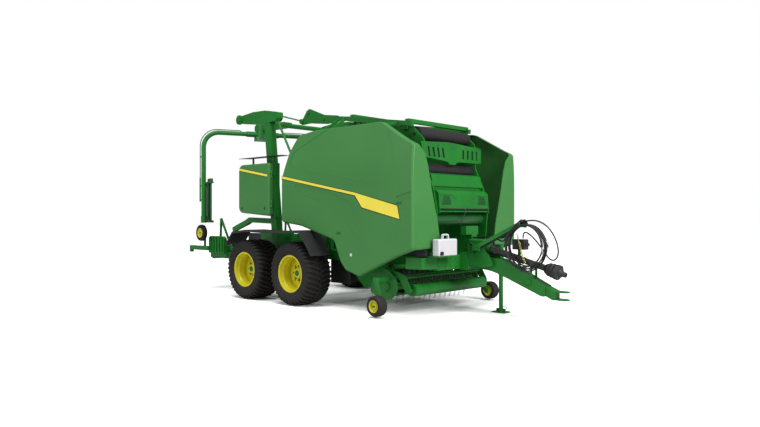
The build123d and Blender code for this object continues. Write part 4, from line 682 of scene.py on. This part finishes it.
def small_wheel(name, body, node, centre, radius, width, out):
    half = width / 2000
    r = radius / 1000
    tyre_ring = Shape()
    tyre_ring.lathe(centre, (0, out, 0), [(r * a, half * b) for a, b in SMALL_TYRE], sides=64)
    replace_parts(tyre_ring.finish(name + "_tyre", body, TYRE), node)
    rim = Shape()
    rim.lathe(centre, (0, out, 0), [(r * a, half * b) for a, b in SMALL_RIM], sides=48)
    for index in range(RIM_BOLTS):
        angle = 2 * pi * index / RIM_BOLTS
        spot = centre + Vector((r * 0.39 * cos(angle), out * half * 0.43, r * 0.39 * sin(angle)))
        rim.bolt(spot, (0, out, 0), r * 0.045, r * 0.04)
    rim.finish(name + "_rim", body, YELLOW)


for side, word in SIDES:
    gauge = "gauge_" + word
    small_wheel(gauge, gauge, "gauge_wheel_" + word, at(1862, side * 1383, 168), 150, 150, side)
small_wheel("tipper", "tipper_wheel_body", "tipper_wheel", at(-3200, -1090, 1092), 160, 84, -1)


# Black sheets over the storage boxes

ROOF_SHEET = ((-1691, 1263), (-469, 1263), (-469, 1084), (-1561, 1084))
for side, word in SIDES:
    sheet = Shape()
    sheet.prism([at(x, side * y, 2439.4) for x, y in ROOF_SHEET], (0, 0, 0.0072))
    sheet.finish("roof_sheet_" + word, "chassis", PLASTIC)


# Chain and hoses of the rack

CHAIN_PITCH, CHAIN_WIRE_R = 0.034, 0.0042
LINK_HALF_W, LINK_OVERLAP = 0.0095, 0.003
RACK_HOSES, RACK_HOSE_R = 3, 0.0095
RACK_LINE = ((2560, -168, 1010), (2700, -176, 930), (2860, -158, 1005), (3010, -132, 1092),
             (3160, -110, 1172), (3290, -94, 1248), (3380, -86, 1316), (3425, -86, 1352), (3462, -88, 1330),
             (3482, -92, 1290))


def chain(name, start, end, sag):
    """Hanging chain of welded links between two points."""
    count = int((end - start).length / CHAIN_PITCH)
    spots = []
    for index in range(count + 1):
        share = index / count
        spots.append(start.lerp(end, share) - Vector((0, 0, sag * 4 * share * (1 - share))))
    links = Shape()
    for index, (a, b) in enumerate(zip(spots, spots[1:])):
        way = (b - a).normalized()
        across = way.cross(Vector((0, 1, 0))) if index % 2 else Vector((0, 1, 0))
        across = across.normalized() * LINK_HALF_W
        a, b = a - way * LINK_OVERLAP, b + way * LINK_OVERLAP
        corners = [a + across, b + across, b - across, a - across]
        for p, q in zip(corners, corners[1:] + corners[:1]):
            links.tube(p, q, CHAIN_WIRE_R, sides=8)
    links.finish(name, "chassis", CHAIN)


chain("rack_chain", at(3310, -60, 1190), at(3462, -100, 785), 0.03)
for index in range(RACK_HOSES):
    run = [at(x + 5 * index, y + 4 * index + 14 * (index % 2), z + 16 * index + 3 * (k % 2))
           for k, (x, y, z) in enumerate(RACK_LINE)]
    hose(f"rack_hose_{index}", run, RACK_HOSE_R)
sleeve = Shape()
sleeve.tube(at(3300, -92, 1282), at(3410, -86, 1366), 0.030, sides=20)
sleeve.finish("rack_sleeve", "chassis", HOSE)


# Dark sheets of painted shade that close the view under the machine and behind slots, where only shade falls,
# and the boots over the crossbeam's ends

BOOT = ((1960, 851), (2010, 930), (2140, 985), (2350, 1004), (2385, 930), (2385, 870))
BOOT_IN_Y, BOOT_W = 860, 0.095
SHEET_BEVEL = 0.002
GUARD_SLOTS = ((-650, -155), (225, 700))

# Painted shade: black sheets under and between the parts where only shade falls, with the two boots over the
# crossbeam's ends
sheets = Shape()
sheets.box(at(400, 0, 525), (0.008, 1.370, 0.385), bevel=SHEET_BEVEL)
for side in (-1, 1):
    sheets.prism([at(x, side * BOOT_IN_Y, z) for x, z in BOOT], (0, side * BOOT_W, 0))
    sheets.box(at(365, side * 688, 560), (0.470, 0.006, 0.460), bevel=SHEET_BEVEL)
    sheets.box(at(-1885, side * 774, 988), (0.390, 0.008, 0.245), bevel=SHEET_BEVEL)
sheets.finish("dust_sheets", "chassis", PLASTIC)
# Painted shade: a near-black sheet behind the pickup where only shade falls
rear = Shape()
rear.box(at(1398, 0, 492), (0.005, 1.940, 0.285))
rear.finish("pickup_rear_sheet", "pickup", SHADOW)
slots = Shape()
for low_y, high_y in GUARD_SLOTS:
    slots.box(at(2113, (low_y + high_y) / 2, 2384), (0.004, (high_y - low_y) / 1000, 0.175))
slots.finish("guard_slot_shade", "chassis", SHADOW)


# Quarter-turn locks and latches on the panels and covers, and the tank's cap

LOCK_X, LOCK_Z = 1224, 855
LATCHES = ((940, 1175), (2180, 1620))
COVER_LOCKS = ((-1560, 1560), (-900, 1560))
for side, word in SIDES:
    lock = Shape()
    lock.tube(on_skin(LOCK_X, LOCK_Z, side, 0.5), on_skin(LOCK_X, LOCK_Z, side, 3.5), 0.024, sides=28)
    lock.finish("panel_locks_" + word, "panel_" + word, WHITE)
    latches = Shape()
    for x, z in LATCHES:
        latches.box(on_skin(x, z, side, 4), (0.075, 0.010, 0.026), bevel=0.004)
        latches.box(on_skin(x + 44, z, side, 3), (0.012, 0.010, 0.040), bevel=0.003)
    latches.finish("panel_latches_" + word, "panel_" + word, DEEP)
    cover_locks = Shape()
    for x, z in COVER_LOCKS:
        cover_locks.tube(at(x, side * (SKIN_Y + 1), z), at(x, side * (SKIN_Y + 5), z), 0.020, sides=24)
    cover_locks.finish("cover_locks_" + word, "cover_" + word, PLASTIC)
tank = Shape()
tank.tube(at(2596, -856, 914), at(2622, -856, 914), 0.0275, sides=28)
tank.finish("tank_cap", "chassis", PLASTIC)


# Camera, floor and light

CAMERA_PLACE = (8.248, -8.149, 1.470)
CAMERA_TURN = (90, 0, 43.79)
LENS, SENSOR = 31.73, 36
FLOOR_REACH = 60
FLOOR_DROP = 0.002
FLOOR_TONES = (0.55, 0.58)
FLOOR_SEEN = 1.38
SKY_LIGHT = (0.29, 0.295, 0.30, 1)
# Place, point that it looks at, size and power
LAMPS = {"front": ((13, -1.5, 7), (0.5, 0, 1.6), 6, 1350), "side": ((-2, -13, 7), (0, 0, 1.2), 8, 560)}
SUN_POWER, SUN_SPREAD, SUN_TURN = 2.1, 38, (12, 10, 0)

scene = bpy.context.scene
eye = bpy.data.cameras.new("camera")
eye.lens = LENS
eye.sensor_width = SENSOR
camera = bpy.data.objects.new("camera", eye)
camera.location = CAMERA_PLACE
camera.rotation_euler = [radians(turn) for turn in CAMERA_TURN]
scene.collection.objects.link(camera)
scene.camera = camera


def stage_material():
    """White to the camera, a mid pale floor for everything else, with the shadow kept."""
    mat = bpy.data.materials.new("pale_floor")
    mat.use_nodes = True
    tree = mat.node_tree
    link = tree.links.new
    tree.nodes.remove(tree.nodes["Principled BSDF"])
    out = tree.nodes["Material Output"]
    shader = tree.nodes.new("ShaderNodeBsdfDiffuse")
    seen = tree.nodes.new("ShaderNodeLightPath").outputs["Is Camera Ray"]
    noise = tree.nodes.new("ShaderNodeTexNoise")
    noise.inputs["Scale"].default_value = 0.6
    tone = tree.nodes.new("ShaderNodeValToRGB")
    for element, value in zip(tone.color_ramp.elements, FLOOR_TONES):
        element.color = (value, value, value, 1)
    link(noise.outputs["Fac"], tone.inputs["Fac"])
    mix = tree.nodes.new("ShaderNodeMixRGB")
    link(seen, mix.inputs["Fac"])
    link(tone.outputs["Color"], mix.inputs["Color1"])
    mix.inputs["Color2"].default_value = (FLOOR_SEEN, FLOOR_SEEN, FLOOR_SEEN, 1)
    link(mix.outputs["Color"], shader.inputs["Color"])
    link(shader.outputs["BSDF"], out.inputs["Surface"])
    return mat


def white_world():
    """Grey soft light from all round, white to the camera."""
    world = bpy.data.worlds.new("studio")
    world.use_nodes = True
    tree = world.node_tree
    link = tree.links.new
    path = tree.nodes.new("ShaderNodeLightPath")
    seen = tree.nodes.new("ShaderNodeMath")
    seen.operation = "MAXIMUM"
    link(path.outputs["Is Camera Ray"], seen.inputs[0])
    link(path.outputs["Is Transmission Ray"], seen.inputs[1])
    sky = tree.nodes.new("ShaderNodeMixRGB")
    link(seen.outputs["Value"], sky.inputs["Fac"])
    sky.inputs["Color1"].default_value = SKY_LIGHT
    sky.inputs["Color2"].default_value = (1, 1, 1, 1)
    back = tree.nodes["Background"]
    link(sky.outputs["Color"], back.inputs["Color"])
    back.inputs["Strength"].default_value = 1.0
    return world


def lamp(name, place, target, size, power):
    data = bpy.data.lights.new(name, "AREA")
    data.shape = "DISK"
    data.size = size
    data.energy = power
    obj = bpy.data.objects.new(name, data)
    obj.location = place
    obj.rotation_euler = (Vector(target) - Vector(place)).to_track_quat("-Z", "Y").to_euler()
    scene.collection.objects.link(obj)


ground = bpy.data.meshes.new("floor")
corners = [(x * FLOOR_REACH, y * FLOOR_REACH, 0) for x, y in ((-1, -1), (1, -1), (1, 1), (-1, 1))]
ground.from_pydata(corners, [], [(0, 1, 2, 3)])
ground.materials.append(stage_material())
floor = bpy.data.objects.new("floor", ground)
scene.collection.objects.link(floor)
floor.location.z = -FLOOR_DROP
scene.world = white_world()
for name, values in LAMPS.items():
    lamp(name, *values)
sun = bpy.data.lights.new("overhead", "SUN")
sun.energy = SUN_POWER
sun.angle = radians(SUN_SPREAD)
overhead = bpy.data.objects.new("overhead", sun)
overhead.rotation_euler = [radians(turn) for turn in SUN_TURN]
scene.collection.objects.link(overhead)

scene.view_settings.view_transform = "Standard"
